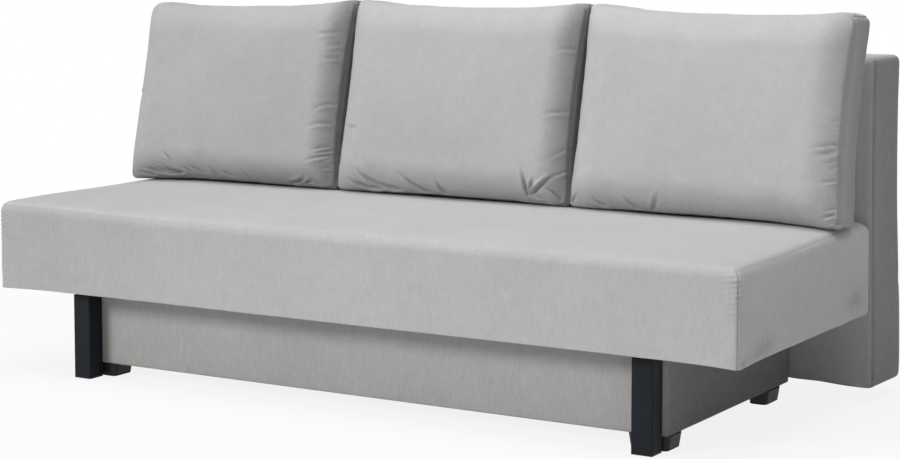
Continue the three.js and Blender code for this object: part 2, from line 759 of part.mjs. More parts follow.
// Moves a leaning cushion down and back until it lies against the seat and the slab.
function settle(geometry) {
  const position = geometry.attributes.position;
  const wall = slabFront - slab.crown - clear.touch;
  const least = (measure) => {
    let value = Infinity;
    for (let i = 0; i < position.count; i++) {
      value = Math.min(value, measure(position.getX(i), position.getY(i), position.getZ(i)));
    }
    return value;
  };
  for (let round = 0; round < 4; round++) {
    geometry.translate(0, 0, clear.touch - least((x, y, z) => z - seatHeight(x, y)));
    geometry.translate(0, least((x, y, z) => (z < slabTop ? wall - y : Infinity)), 0);
  }
  geometry.translate(0, 0, clear.touch - least((x, y, z) => z - seatHeight(x, y)));
}

function buildCushions() {
  const pitch = (seat.width + cushion.gap) / cushion.count;
  const width = pitch - cushion.gap;
  const names = ["left", "middle", "right"];
  names.forEach((name, i) => {
    const form = padded([width, cushion.seamDepth, cushion.height], cushionSteps, cushion.edge, {
      swell: {
        yLow: cushion.frontCrown,
        yHigh: cushion.rearCrown,
        xLow: -cushion.drawIn,
        xHigh: -cushion.drawIn,
        zHigh: -cushion.drawIn,
      },
    });
    form.rotateX(-THREE.MathUtils.degToRad(cushion.lean));
    const middle = pitch * (i - (names.length - 1) / 2);
    form.translate(middle, seat.depth - cushion.seamDepth * 2, seatTop + cushion.height);
    settle(form);
    add(cushions, `cushion_${name}`, form, velour);
  });
}

buildBox();
buildFeet();
buildLegs();
buildSlides();
buildHinges();
buildSeat();
buildLinks();
buildBack();
buildProp();
buildCushions();

// The origin is on the floor, in the middle of the whole sofa.
sofa.position.y = -slabRear / 2;
const root = new THREE.Group();
root.add(sofa);

export default root;
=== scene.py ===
import itertools
import math

import bpy
import numpy as np
from mathutils import Matrix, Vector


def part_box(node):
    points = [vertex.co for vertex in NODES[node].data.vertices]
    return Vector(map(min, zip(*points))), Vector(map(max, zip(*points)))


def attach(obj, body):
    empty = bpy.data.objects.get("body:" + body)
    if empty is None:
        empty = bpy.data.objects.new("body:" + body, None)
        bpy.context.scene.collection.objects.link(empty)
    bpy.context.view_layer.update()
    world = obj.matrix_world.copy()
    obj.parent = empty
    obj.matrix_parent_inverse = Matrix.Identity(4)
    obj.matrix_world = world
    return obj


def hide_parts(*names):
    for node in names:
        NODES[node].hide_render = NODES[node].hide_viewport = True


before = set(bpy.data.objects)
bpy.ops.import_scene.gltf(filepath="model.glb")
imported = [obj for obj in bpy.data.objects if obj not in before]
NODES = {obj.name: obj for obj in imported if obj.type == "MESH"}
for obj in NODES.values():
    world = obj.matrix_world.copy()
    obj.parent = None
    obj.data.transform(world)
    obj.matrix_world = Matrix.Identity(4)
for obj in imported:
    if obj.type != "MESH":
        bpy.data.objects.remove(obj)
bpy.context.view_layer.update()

# Lengths are in millimetres: x along the seat, y from the seat's front edge to the back, z up from the floor.
MIDDLE_Y = 467.5  # of the whole sofa, where the frame has its zero


# Camera, light and floor

CAMERA_AT = (2723.9, -3964.0, 1088.3)
CAMERA_PITCH = 5.0
CAMERA_YAW = 31.258
PHOTO_WIDTH, SENSOR_WIDTH = 900, 36
CAMERA_FOCAL = 2150.85 / PHOTO_WIDTH * SENSOR_WIDTH
CAMERA_SHIFT = -0.1179


def to_frame(points):
    return (np.asarray(points, float) - (0, MIDDLE_Y, 0)) * 0.001


def link(obj):
    bpy.context.scene.collection.objects.link(obj)
    return obj


def make_camera():
    data = bpy.data.cameras.new("camera")
    data.lens = CAMERA_FOCAL
    data.sensor_width = SENSOR_WIDTH
    data.shift_y = CAMERA_SHIFT
    data.clip_end = 50
    camera = link(bpy.data.objects.new("camera", data))
    camera.location = to_frame(CAMERA_AT)
    camera.rotation_euler = (math.radians(90 - CAMERA_PITCH), 0, math.radians(CAMERA_YAW))
    bpy.context.scene.camera = camera


def area_light(name, at, target, size, power):
    """A lamp whose place, target and size are in metres."""
    data = bpy.data.lights.new(name, "AREA")
    data.shape = "RECTANGLE"
    data.size, data.size_y = size
    data.energy = power
    lamp = link(bpy.data.objects.new(name, data))
    lamp.location = at
    aim = Matrix.Translation(at).to_translation() - Matrix.Translation(target).to_translation()
    lamp.rotation_euler = aim.to_track_quat("Z", "Y").to_euler()


def make_light():
    area_light("key", (-8.2, -15.6, 9.4), (0.1, 0, 0.45), (6.6, 5.4), 2060)
    area_light("top", (0.4, -0.4, 4.4), (0.4, 0, 0.3), (4.2, 2.6), 116)
    world = bpy.data.worlds.new("studio")
    world.use_nodes = True
    bpy.context.scene.world = world
    nodes, links = world.node_tree.nodes, world.node_tree.links
    soft, white = nodes["Background"], nodes.new("ShaderNodeBackground")
    soft.inputs["Color"].default_value = (0.92, 0.96, 1.0, 1)
    soft.inputs["Strength"].default_value = 0.2
    white.inputs["Color"].default_value = (1, 1, 1, 1)
    mix = nodes.new("ShaderNodeMixShader")
    links.new(seen_directly(nodes, links), mix.inputs[0])
    links.new(soft.outputs[0], mix.inputs[1])
    links.new(white.outputs[0], mix.inputs[2])
    links.new(mix.outputs[0], nodes["World Output"].inputs["Surface"])


def seen_directly(nodes, links):
    """1 for what the camera, a reflection or a view through glass sees."""
    path = nodes.new("ShaderNodeLightPath")
    first, second = nodes.new("ShaderNodeMath"), nodes.new("ShaderNodeMath")
    first.operation = second.operation = "MAXIMUM"
    links.new(path.outputs["Is Camera Ray"], first.inputs[0])
    links.new(path.outputs["Is Glossy Ray"], first.inputs[1])
    links.new(first.outputs[0], second.inputs[0])
    links.new(path.outputs["Is Transmission Ray"], second.inputs[1])
    return second.outputs[0]


def make_floor():
    mesh = bpy.data.meshes.new("floor")
    reach = 14.0
    corners = [(-reach, -reach, 0), (reach, -reach, 0), (reach, reach, 0), (-reach, reach, 0)]
    mesh.from_pydata(corners, [], [(0, 1, 2, 3)])
    floor = link(bpy.data.objects.new("floor", mesh))
    paint = bpy.data.materials.new("floor")
    paint.use_nodes = True
    nodes, links = paint.node_tree.nodes, paint.node_tree.links
    shader = nodes["Principled BSDF"]
    shader.inputs["Base Color"].default_value = (0.84, 0.84, 0.84, 1)
    shader.inputs["Roughness"].default_value = 0.9
    glow = nodes.new("ShaderNodeEmission")
    glow.inputs["Color"].default_value = (1, 1, 1, 1)
    glow.inputs["Strength"].default_value = 1.0
    # Further away the floor fades into the backdrop.
    place, far = nodes.new("ShaderNodeTexCoord"), nodes.new("ShaderNodeVectorMath")
    far.operation = "LENGTH"
    links.new(place.outputs["Object"], far.inputs[0])
    fade, share = nodes.new("ShaderNodeMapRange"), nodes.new("ShaderNodeMath")
    fade.interpolation_type = "SMOOTHSTEP"
    for key, value in (("From Min", 1.3), ("From Max", 3.6), ("To Min", 0.86), ("To Max", 1.0)):
        fade.inputs[key].default_value = value
    links.new(far.outputs["Value"], fade.inputs["Value"])
    share.operation = "MULTIPLY"
    links.new(fade.outputs[0], share.inputs[1])
    links.new(seen_directly(nodes, links), share.inputs[0])
    mix = nodes.new("ShaderNodeMixShader")
    links.new(share.outputs[0], mix.inputs[0])
    links.new(shader.outputs[0], mix.inputs[1])
    links.new(glow.outputs[0], mix.inputs[2])
    links.new(mix.outputs[0], nodes["Material Output"].inputs["Surface"])
    mesh.materials.append(paint)


# Materials


def srgb(red, green, blue):
    linear = []
    for value in (red / 255, green / 255, blue / 255):
        linear.append(value / 12.92 if value <= 0.0404 else ((value + 0.055) / 1.055) ** 2.4)
    return linear + [1]


def shade(colour, factor, more=0.0):
    return [min(1, value * factor + more) for value in colour[:3]] + [1]


class Finish:
    """A material whose nodes are added by short calls."""

    def __init__(self, name):
        self.material = bpy.data.materials.new(name)
        self.material.use_nodes = True
        self.nodes = self.material.node_tree.nodes
        self.links = self.material.node_tree.links
        self.shader = self.nodes["Principled BSDF"]
        self.place = self.nodes.new("ShaderNodeTexCoord").outputs["Object"]

    def node(self, kind, inputs=(), **settings):
        node = self.nodes.new(kind)
        for key, value in settings.items():
            setattr(node, key, value)
        for key, value in dict(inputs).items():
            self.put(node.inputs[key], value)
        return node

    def put(self, socket, value):
        if isinstance(value, bpy.types.NodeSocket):
            self.links.new(value, socket)
        else:
            socket.default_value = value

    def set(self, **values):
        for key, value in values.items():
            self.put(self.shader.inputs[key.replace("_", " ")], value)

    def stretched(self, x, y, z):
        return self.node("ShaderNodeMapping", {"Vector": self.place, "Scale": (x, y, z)}).outputs[0]

    def noise(self, scale, detail=3, roughness=0.5, distortion=0, at=None):
        inputs = {"Vector": at or self.place, "Scale": scale, "Detail": detail}
        inputs.update({"Roughness": roughness, "Distortion": distortion})
        return self.node("ShaderNodeTexNoise", inputs).outputs["Fac"]

    def cells(self, scale, at=None, output="Distance", **settings):
        inputs = {"Vector": at or self.place, "Scale": scale}
        return self.node("ShaderNodeTexVoronoi", inputs, **settings).outputs[output]

    def cell_tones(self, scale, at=None):
        """One value for each cell."""
        return self.node("ShaderNodeSeparateColor", {0: self.cells(scale, at, "Color")}).outputs[0]

    def range(self, value, from_low, from_high, low, high):
        inputs = {"Value": value, "From Min": from_low, "From Max": from_high, "To Min": low, "To Max": high}
        return self.node("ShaderNodeMapRange", inputs).outputs[0]

    def math(self, operation, a, b):
        return self.node("ShaderNodeMath", {0: a, 1: b}, operation=operation).outputs[0]

    def mix(self, share, a, b, blend="MIX"):
        node = self.node("ShaderNodeMix", data_type="RGBA", blend_type=blend)
        self.put(node.inputs[0], share)
        self.put(node.inputs[6], a)
        self.put(node.inputs[7], b)
        return node.outputs[2]

    def ramp(self, value, *stops):
        node = self.node("ShaderNodeValToRGB", {"Fac": value})
        elements = node.color_ramp.elements
        while len(elements) < len(stops):
            elements.new(0.5)
        for element, (at, colour) in zip(elements, stops):
            element.position = at
            element.color = colour
        return node.outputs[0]

    def attribute(self, name):
        return self.node("ShaderNodeAttribute", attribute_name=name).outputs["Fac"]

    def bump(self, *layers):
        normal = None
        for height, strength, depth in layers:
            inputs = {"Height": height, "Strength": strength, "Distance": depth * 0.001}
            if normal:
                inputs["Normal"] = normal
            normal = self.node("ShaderNodeBump", inputs).outputs[0]
        self.put(self.shader.inputs["Normal"], normal)


def velour(name, colour, crushed=1.0):
    """Short pile that lies in soft patches, with fine upright streaks.

    The mesh says where: one value is 1 on a seam and adds painted shade in folds and creases, one adds
    painted light and shade that lighten or darken the cloth, one is painted shade low on the seat's ends, and
    crinkle_side and crinkle_end are 1 beside upright and level seams.
    """
    f = Finish(name)
    cloud = f.noise(4.5, 3, 0.55, 0.3)
    patch = f.noise(34, 4, 0.62, 0.6)
    crush = f.noise(1.0, 4, 0.62, 0.4, f.stretched(190, 190, 46))
    pile = f.noise(620, 2, 0.7)
    tuft = f.cells(560)
    tone = f.math("ADD", f.range(patch, 0.3, 0.7, -0.09, 0.09), f.range(cloud, 0.3, 0.7, -0.08, 0.08))
    streaks = f.range(crush, 0.25, 0.75, -0.26 * crushed, 0.26 * crushed)
    # The tone also takes painted light and shade from the mesh, which lightens or darkens the cloth.
    for part in (streaks, f.range(pile, 0.2, 0.8, -0.12, 0.12), f.attribute("painted_light_and_shade"), 0.5):
        tone = f.math("ADD", tone, part)
    body = f.mix(tone, shade(colour, 0.8), shade(colour, 1.16))
    body.node.clamp_factor = False
    # Seam lines are darker, and folds and creases are darkened as painted shade.
    darkened = f.mix(f.range(f.attribute("seam"), 0, 1, 0, 0.6), body, shade(colour, 0.45))
    # Painted shade low on the seat's ends, a brownish grey broken up by noise.
    spots = f.math("MULTIPLY", f.attribute("hem_shade"), f.range(f.noise(60, 4, 0.7), 0.35, 0.65, 0.2, 1))
    darkened = f.mix(f.range(spots, 0, 1, 0, 0.7), darkened, srgb(96, 92, 86))
    f.set(Base_Color=darkened, Roughness=f.range(patch, 0.25, 0.75, 0.78, 0.95))
    f.set(Sheen_Weight=0.25, Sheen_Roughness=0.4, Sheen_Tint=(1, 1, 1, 1), Specular_IOR_Level=0.2)
    scales = ((14, 14, 120), (120, 14, 14))
    level, upright = (f.noise(1.0, 3, 0.6, 0.3, f.stretched(*scale)) for scale in scales)
    side = f.math("MULTIPLY", f.attribute("crinkle_side"), level)
    end = f.math("MULTIPLY", f.attribute("crinkle_end"), upright)
    coarse = ((side, 0.6, 3.0), (end, 0.6, 3.0), (patch, 0.3, 1.5), (crush, 0.35 * crushed, 1.6))
    f.bump(*coarse, (tuft, 0.3, 0.5), (pile, 0.5, 0.7))
    return f.material


def powder_coat(name, colour):
    f = Finish(name)
    grain = f.noise(1400, 2, 0.6)
    peel = f.noise(260, 2, 0.5)
    haze = f.noise(14, 3, 0.6)
    f.set(Base_Color=f.mix(f.range(haze, 0.3, 0.75, 0, 0.45), colour, shade(colour, 1.5, 0.004)))
    f.set(Roughness=f.range(haze, 0.3, 0.7, 0.5, 0.64), Specular_IOR_Level=0.09)
    f.bump((peel, 0.25, 0.25), (grain, 0.4, 0.12))
    return f.material


def zinc(name):
    f = Finish(name)
    wear = f.noise(35, 4, 0.6)
    base = f.mix(f.cell_tones(90), srgb(150, 152, 153), srgb(188, 190, 190))
    f.set(Base_Color=f.mix(f.range(wear, 0.5, 0.8, 0, 0.5), base, srgb(122, 120, 116)))
    f.set(Metallic=1.0, Roughness=f.range(wear, 0.3, 0.7, 0.34, 0.52))
    f.bump((f.noise(300, 2), 0.2, 0.15), (wear, 0.2, 0.3))
    return f.material


def moulded(name, colour):
    f = Finish(name)
    grain = f.cells(700)
    dust = f.noise(24, 4, 0.65)
    f.set(Base_Color=f.mix(f.range(dust, 0.45, 0.8, 0, 0.25), colour, srgb(58, 57, 56)))
    f.set(Roughness=f.range(dust, 0.3, 0.7, 0.42, 0.6), Specular_IOR_Level=0.25)
    f.bump((grain, 0.35, 0.12))
    return f.material


def chipboard(name):
    f = Finish(name)
    at = f.stretched(1, 1, 2.2)
    tone = f.cell_tones(160, at)
    fine = f.noise(520, 3, 0.7)
    wood = f.ramp(tone, (0.0, srgb(150, 120, 84)), (0.45, srgb(186, 156, 116)), (1.0, srgb(214, 190, 152)))
    f.set(Base_Color=f.mix(f.range(fine, 0.4, 0.75, 0, 0.35), wood, srgb(120, 92, 62)))
    f.set(Roughness=f.range(fine, 0.3, 0.7, 0.7, 0.88))
    f.bump((f.cells(160, at), 0.35, 0.4), (fine, 0.3, 0.3))
    return f.material


def pine(name, grain):
    """Sawn softwood whose grain runs along the axis with the small number in grain."""
    f = Finish(name)
    at = f.stretched(*grain)
    rings = {"Vector": at, "Scale": 6.0, "Distortion": 5.5, "Detail": 3.0, "Detail Scale": 1.2}
    ring = f.node("ShaderNodeTexWave", rings).outputs["Fac"]
    fibre = f.noise(60, 4, 0.6, 0, at)
    knot = f.cells(7)
    wood = f.ramp(ring, (0.0, srgb(222, 190, 142)), (0.7, srgb(206, 166, 112)), (1.0, srgb(170, 122, 72)))
    wood = f.mix(f.range(fibre, 0.4, 0.8, 0, 0.4), wood, srgb(184, 142, 94))
    wood = f.mix(f.range(knot, 0.0, 0.1, 0.8, 0), wood, srgb(112, 70, 40))
    f.set(Base_Color=wood, Roughness=f.range(fibre, 0.3, 0.7, 0.55, 0.75))
    f.bump((ring, 0.15, 0.3), (fibre, 0.35, 0.3))
    return f.material


def open_foam(name):
    f = Finish(name)
    cell = f.cells(480, feature="SMOOTH_F1")
    skin = f.noise(18, 3, 0.6)
    base = f.mix(f.range(skin, 0.3, 0.7, 0, 1), srgb(236, 222, 178), srgb(224, 204, 150))
    f.set(Base_Color=f.mix(f.range(cell, 0.0, 0.5, 0, 0.35), base, srgb(180, 156, 104)))
    f.set(Roughness=0.95)
    f.bump((cell, 0.6, 0.8), (skin, 0.2, 1.5))
    return f.material


def spunbond(name):
    """Thin black non-woven cloth, embossed with small points."""
    f = Finish(name)
    point = f.cells(420)
    thread = f.noise(700, 4, 0.7, 1.2)
    cloud = f.noise(12, 3, 0.6)
    base = f.mix(f.range(cloud, 0.3, 0.7, 0, 1), srgb(52, 52, 54), srgb(66, 66, 68))
    f.set(Base_Color=f.mix(f.range(point, 0.05, 0.3, 0.4, 0), base, srgb(36, 36, 38)))
    f.set(Roughness=f.range(thread, 0.3, 0.7, 0.65, 0.85), Sheen_Weight=0.2)
    f.bump((point, 0.5, 0.25), (thread, 0.3, 0.2))
    return f.material


FABRIC_SEAT = velour("velour_seat", srgb(190, 189, 188), 0.65)
FABRIC_BACK = velour("velour_back", srgb(186, 186, 186), 0.6)
FABRIC_BOX = velour("velour_box", srgb(173, 171, 169))
FABRIC_CUSHION = velour("velour_cushion", srgb(190, 189, 188), 0.35)
GRAPHITE = powder_coat("graphite", srgb(30, 33, 38))
ZINC = zinc("zinc")
BLACK = moulded("black_plastic_moulded", srgb(24, 24, 26))
CHIPS = chipboard("chips")
PINE_X = pine("pine_along_x", (0.12, 1, 1))
PINE_Y = pine("pine_along_y", (1, 0.12, 1))
PINE_Z = pine("pine_along_z", (1, 1, 0.12))
FOAM = open_foam("open_foam")
LINING = spunbond("spunbond")


# Mesh helpers


def noise(points, size, seed=0):
    """Smooth values from -1 to 1 that change over about size."""
    p = np.asarray(points, float) / size + seed * 31.7
    cell = np.floor(p).astype(np.int64)
    inside = p - cell
    inside = inside * inside * (3 - 2 * inside)
    total = np.zeros(len(p))
    for corner in itertools.product((0, 1), repeat=3):
        c = cell + corner
        key = (c[:, 0] * 73856093) ^ (c[:, 1] * 19349663) ^ (c[:, 2] * 83492791)
        key = (key ^ (key >> 13)) * 1274126177 & 0x7FFFFFFF
        value = (key ^ (key >> 16)) % 20011 / 10005.0 - 1
        total += value * np.prod(np.where(corner, inside, 1 - inside), axis=1)
    return total


def ease(value, low, high):
    t = np.clip((value - low) / (high - low), 0, 1)
    return t * t * (3 - 2 * t)


def lines(stops, step, fine=()):
    """Grid lines through all stops and fine lines, no further apart than step."""
    marks = sorted(set(stops) | set(fine))
    result = [marks[0]]
    for low, high in zip(marks, marks[1:]):
        count = max(1, math.ceil((high - low) / step - 0.25))
        result += [low + (high - low) * (i + 1) / count for i in range(count)]
    return np.array(result)


def mirrored(*distances):
    return [sign * distance for sign in (-1, 1) for distance in distances]


def both_sides(sides, y, z):
    """One block on the left and one on the right."""
    return [((s * sides[0], s * sides[1])[::s], y, z) for s in (-1, 1)]


def within(points, block):
    """Whether each point lies in or on a block."""
    inside = np.ones(len(points), bool)
    for axis, (low, high) in enumerate(block):
        inside &= (points[:, axis] > low - 0.1) & (points[:, axis] < high + 0.1)
    return inside


def rim(low, high, offsets):
    """Lines at the given distances inside both ends."""
    return [low + d for d in offsets] + [high - d for d in offsets]


def skin(xs, ys, zs, holes=()):
    """Points and faces of the outside of a block on a grid, less the blocks in holes."""
    grid = (xs, ys, zs)
    centre = [(g[1:] + g[:-1]) / 2 for g in grid]
    solid = np.ones([len(c) for c in centre], bool)
    for hole in holes:
        inside = [(c > a) & (c < b) for c, (a, b) in zip(centre, hole)]
        solid &= ~(inside[0][:, None, None] & inside[1][None, :, None] & inside[2][None, None, :])
    solid = np.pad(solid, 1)
    shape = [len(g) for g in grid]
    faces = []
    for axis in range(3):
        low = np.take(solid, range(0, solid.shape[axis] - 1), axis)
        high = np.take(solid, range(1, solid.shape[axis]), axis)
        for out, edge in ((1, low & ~high), (-1, high & ~low)):
            cell = np.argwhere(edge)
            cell -= [0 if a == axis else 1 for a in range(3)]
            u, v = (axis + 1) % 3, (axis + 2) % 3
            corners = []
            for du, dv in ((0, 0), (1, 0), (1, 1), (0, 1)):
                c = cell.copy()
                c[:, u] += du
                c[:, v] += dv
                corners.append((c[:, 0] * shape[1] + c[:, 1]) * shape[2] + c[:, 2])
            faces.append(np.stack(corners[:: out], axis=1))
    faces = np.concatenate(faces)
    used, faces = np.unique(faces, return_inverse=True)
    index = np.unravel_index(used, shape)
    points = np.stack([g[i] for g, i in zip(grid, index)], axis=1)
    return points, faces.reshape(-1, 4)


def rounded(points, low, high, radius, flat=(), corner=2.0):
    """Rounds a block's edges. Faces in flat, such as (2, 0) for the lowest z, keep sharp edges."""
    low, high = np.array(low, float), np.array(high, float)
    inner_low = low + [0 if (a, 0) in flat else radius for a in range(3)]
    inner_high = high - [0 if (a, 1) in flat else radius for a in range(3)]
    core = np.clip(points, inner_low, inner_high)
    away = np.abs(points - core) / radius
    across = (away[:, 0] ** corner + away[:, 1] ** corner) ** (2 / corner)
    length = np.sqrt(across + away[:, 2] ** 2)
    most = away.max(axis=1)
    share = np.where(length > 0, most / np.maximum(length, 1e-9), 1)
    return core + (points - core) * share[:, None]


def swell(points, centre, half, faces):
    """Moves the middle of each face out by its amount, as faces = {(axis, end): amount}."""
    local = (points - centre) / half
    moved = points.copy()
    for (axis, end), amount in faces.items():
        others = [a for a in range(3) if a != axis]
        middle = np.prod(np.clip(1 - local[:, others] ** 2, 0, 1), axis=1)
        share = (1 + (1 if end else -1) * local[:, axis]) / 2
        moved[:, axis] += (1 if end else -1) * amount * middle * np.clip(share, 0, 1.2)
    return moved


def make_mesh(name, points, faces, material, smooth=True, values=None):
    mesh = bpy.data.meshes.new(name)
    mesh.from_pydata(to_frame(points).tolist(), [], [tuple(map(int, f)) for f in faces])
    mesh.polygons.foreach_set("use_smooth", [smooth] * len(mesh.polygons))
    mesh.materials.append(material)
    mesh.update()
    obj = link(bpy.data.objects.new(name, mesh))
    for key, value in (values or {}).items():
        put_value(obj, key, value)
    return obj


def normals_of(points, faces):
    a, b, c, d = (points[faces[:, i]] for i in range(4))
    flat = np.cross(c - a, d - b)
    total = np.zeros_like(points)
    for i in range(4):
        np.add.at(total, faces[:, i], flat)
    return total / np.maximum(np.linalg.norm(total, axis=1, keepdims=True), 1e-9)


def refine(obj):
    """Applies one level of subdivision to a mesh."""
    modifier = obj.modifiers.new("refine", "SUBSURF")
    modifier.levels = modifier.render_levels = 1
    apply_modifiers(obj)


def apply_modifiers(obj):
    shape = bpy.data.meshes.new_from_object(obj.evaluated_get(bpy.context.evaluated_depsgraph_get()))
    old = obj.data
    obj.modifiers.clear()
    obj.data = shape
    bpy.data.meshes.remove(old)


def points_of(obj):
    points = np.empty(len(obj.data.vertices) * 3)
    obj.data.vertices.foreach_get("co", points)
    return points.reshape(-1, 3) * 1000 + (0, MIDDLE_Y, 0)


def faces_of(obj):
    return np.array([p.vertices[:] for p in obj.data.polygons])


def put_points(obj, points):
    obj.data.vertices.foreach_set("co", to_frame(points).ravel())
    obj.data.update()


def put_value(obj, name, value):
    data = obj.data.attributes.get(name) or obj.data.attributes.new(name, "FLOAT", "POINT")
    data.data.foreach_set("value", np.asarray(value, np.float32))


def piece(obj, body, replaced=()):
    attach(obj, body)
    if replaced:
        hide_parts(*replaced)
    return obj


# Seat

SEAT = {"side": 1000.0, "depth": 750.0, "bottom": 216.0, "top": 421.0, "crown": 20.0}
SEAT_LEAN, SEAT_EDGE = 5.0, 26.0
# The filling stands a little higher at the left end and at the rear right corner.
LEFT_RISE, RIGHT_RISE = 8.0, 11.0
FRAME_SPACE = ((-964.0, 964.0), (36.0, 712.0), (0.0, 284.4))
SLOT_SIDES, SLOT_FROM, SLOT_TOP = (735.7, 751.7), 712.0, 407.0
SLOTS = both_sides(SLOT_SIDES, (SLOT_FROM, 800.0), (0.0, SLOT_TOP))
# The line (y, z) that the seat turns up about, how far behind it the lifted seat may reach, and above what.
LIFT_AXIS, LIFT_REACH, LIFT_FROM = (738.0, 395.0), 14.5, 330.0
# Gathers beside the upright corner seams: how far down they start, and their spacing and height.
GATHER_DOWN, GATHER_SPACING, GATHER_HEIGHT = 125.0, 11.0, 1.25
# Painted shade low on the seat's ends, along the hem: the place and width of each spot.
SHADE_SPOTS = ((1000, 92, 234, 36), (1000, 150, 240, 44), (1000, 20, 226, 20), (1000, 660, 258, 46))
SHADE_SPOTS += ((-1000, 90, 230, 30),)


def seat_height(x, y):
    side, half_depth = SEAT["side"], SEAT["depth"] / 2
    crown = SEAT["crown"] * (1 - (x / side) ** 4) * (1 - (y / half_depth - 1) ** 4)
    left = LEFT_RISE * ease(-x, 500, side)
    return SEAT["top"] + crown + left + RIGHT_RISE * ease(x, 550, side) * ease(y, 50, 700)


def sew_seat_corners(seat):
    """Upright corner seams, with short gathers that run across them near the top."""
    side, depth, top = SEAT["side"], SEAT["depth"], SEAT["top"]
    points = points_of(seat)
    normal = normals_of(points, faces_of(seat))
    x, y, z = points.T
    from_side, from_end = side - np.abs(x), np.minimum(y, depth - y)
    # Each corner's cloth starts a little inside the block's corner.
    skew = np.abs(from_side - from_end)
    corner = np.exp(-((skew / 3.2) ** 2)) * (np.maximum(from_side, from_end) < 16) * (z < top - 3)
    on_front = np.abs(normal[:, 1]) > np.abs(normal[:, 0])
    across = np.where(on_front, from_side, from_end)
    reach = np.where(on_front, 26.0, 11.0) * (1 + 0.5 * noise(points * (0, 0, 1), 13, 9))
    high = ease(z, top - GATHER_DOWN, top - 60) * ease(z, top - 4, top - 22)
    upright = ease(np.abs(normal[:, 2]), 0.6, 0.2) * (np.minimum(from_side, from_end) < 12) * (across < 120)
    fold = np.sin(2 * math.pi * z / GATHER_SPACING + 0.09 * across + 4.5 * noise(points, 34, 7)) - 0.3
    fold *= 0.75 + 0.6 * noise(points, 17, 10)
    fold *= np.exp(-np.maximum(across - 8, 0) / reach) * high * upright
    fold *= np.where(y < depth / 2, 1, 0.35)
    put_points(seat, points + normal * (GATHER_HEIGHT * fold - 1.2 * corner)[:, None])
    # The corner seam line is darker, and the gathers' hollows are darkened as painted shade.
    put_value(seat, "seam", 0.75 * corner + 0.25 * np.clip(-fold, 0, 1))


def clear_slab(seat):
    """Rounds the rear top edge off, so that it passes the back slab as the seat turns up by 45 degrees."""
    points = points_of(seat)
    slope = math.sqrt(0.5)
    over = (points[:, 1:] - LIFT_AXIS) @ (slope, slope) - LIFT_REACH
    over = (over + np.sqrt(over**2 + 4)) / 2 * (points[:, 2] > LIFT_FROM)
    put_points(seat, points - over[:, None] * (0, slope, slope))


def darkened(points, spots):
    """How much painted shade each point gets from the spots. A spot is half as tall as it is wide."""
    total = np.zeros(len(points))
    for *place, wide in spots:
        total += np.exp(-(((points - place) / (wide, wide, 0.5 * wide)) ** 2).sum(axis=1))
    return total


def make_seat():
    side, depth, low, top = SEAT["side"], SEAT["depth"], SEAT["bottom"], SEAT["top"]
    (_, space_side), (space_front, _), (_, space_top) = FRAME_SPACE
    near = (2.5, 6, 10, 14, 19, 26, 33, 42, 52, 64, 78, 94, 112)
    xs = lines(mirrored(side, space_side, *SLOT_SIDES), 13, rim(-side, side, near))
    ys = lines([0, depth, space_front, SLOT_FROM], 13, rim(0, depth, near))
    zs = lines([low, top, space_top, SLOT_TOP, low + 3, low + 8], 4.5, [top - d for d in near[:6]])
    flat, faces = skin(xs, ys, zs, [FRAME_SPACE, *SLOTS])
    points = rounded(flat, (-side, 0, low), (side, depth, top), SEAT_EDGE, flat=[(2, 0)], corner=4.0)
    middle, half = (0, depth / 2, (low + top) / 2), (side, depth / 2, (top - low) / 2)
    leaning = {(0, 0): -SEAT_LEAN, (0, 1): -SEAT_LEAN}
    outer = ~within(flat, FRAME_SPACE)
    points = np.where(outer[:, None], swell(points, middle, half, leaning), points)
    normal = normals_of(points, faces)
    x, y, z = flat.T
    on_front, on_rear = y < 0.01, y > depth - 0.01
    on_side, on_top = np.abs(x) > side - 0.01, z > top - 0.01
    upright = (on_front | on_side | on_rear) & ~on_top
    # Panels are slack by a little, and the hem waves where it is stapled under the frame.
    slack = 1.1 * noise(flat, 170, 1) + 0.5 * noise(flat, 70, 2)
    hem = 1.5 * noise(flat * (1, 1, 0.1), 52, 3) + 0.8 * noise(flat * (1, 1, 0.2), 21, 4)
    hem *= ease(z, low + 60, low)
    amount = np.where(upright, slack * ease(z, low, low + 30) + hem, 0)
    amount = np.where(on_top, 0.9 * noise(flat, 260, 5) + 0.4 * noise(flat, 110, 6), amount)
    points = points + normal * np.where(outer, amount, 0)[:, None]
    points[:, 2] += ease(z, low + 20, low) * upright * (0.9 * noise(flat, 60, 8) + 0.5)
    share = np.clip((points[:, 2] - low) / (top - low), 0, 1)
    # The crown lifts the cover, which rolls softly over the right end.
    height = seat_height(x, y) - top - 3 * ease(x, side - 60, side - 10)
    points[:, 2] += np.where(outer, height * share, 0)
    # Its lower front corners hang a little.
    away = np.hypot(side - np.abs(x), y)
    points[:, 2] -= np.where(outer, 6 * np.exp(-away / 80) * ease(z, low + 60, low), 0)
    # Painted light on both ends, more towards the top, and painted shade on the front, more towards the left.
    painted_light_and_shade = (0.5 - 0.2 * ease(z, top - 30, low + 60)) * ease(np.abs(x), side - 30, side - 2) * on_side
    painted_light_and_shade -= (0.1 + 0.22 * ease(-x, 0, 900)) * on_front
    # Painted shade spots low on the ends.
    values = {"painted_light_and_shade": painted_light_and_shade, "hem_shade": 0.55 * darkened(flat, SHADE_SPOTS)}
    seat = make_mesh("seat_upholstery", points, faces, FABRIC_SEAT, values=values)
    refine(seat)
    sew_seat_corners(seat)
    clear_slab(seat)
    piece(seat, "seat", ["seat_cover"])


# Back slab

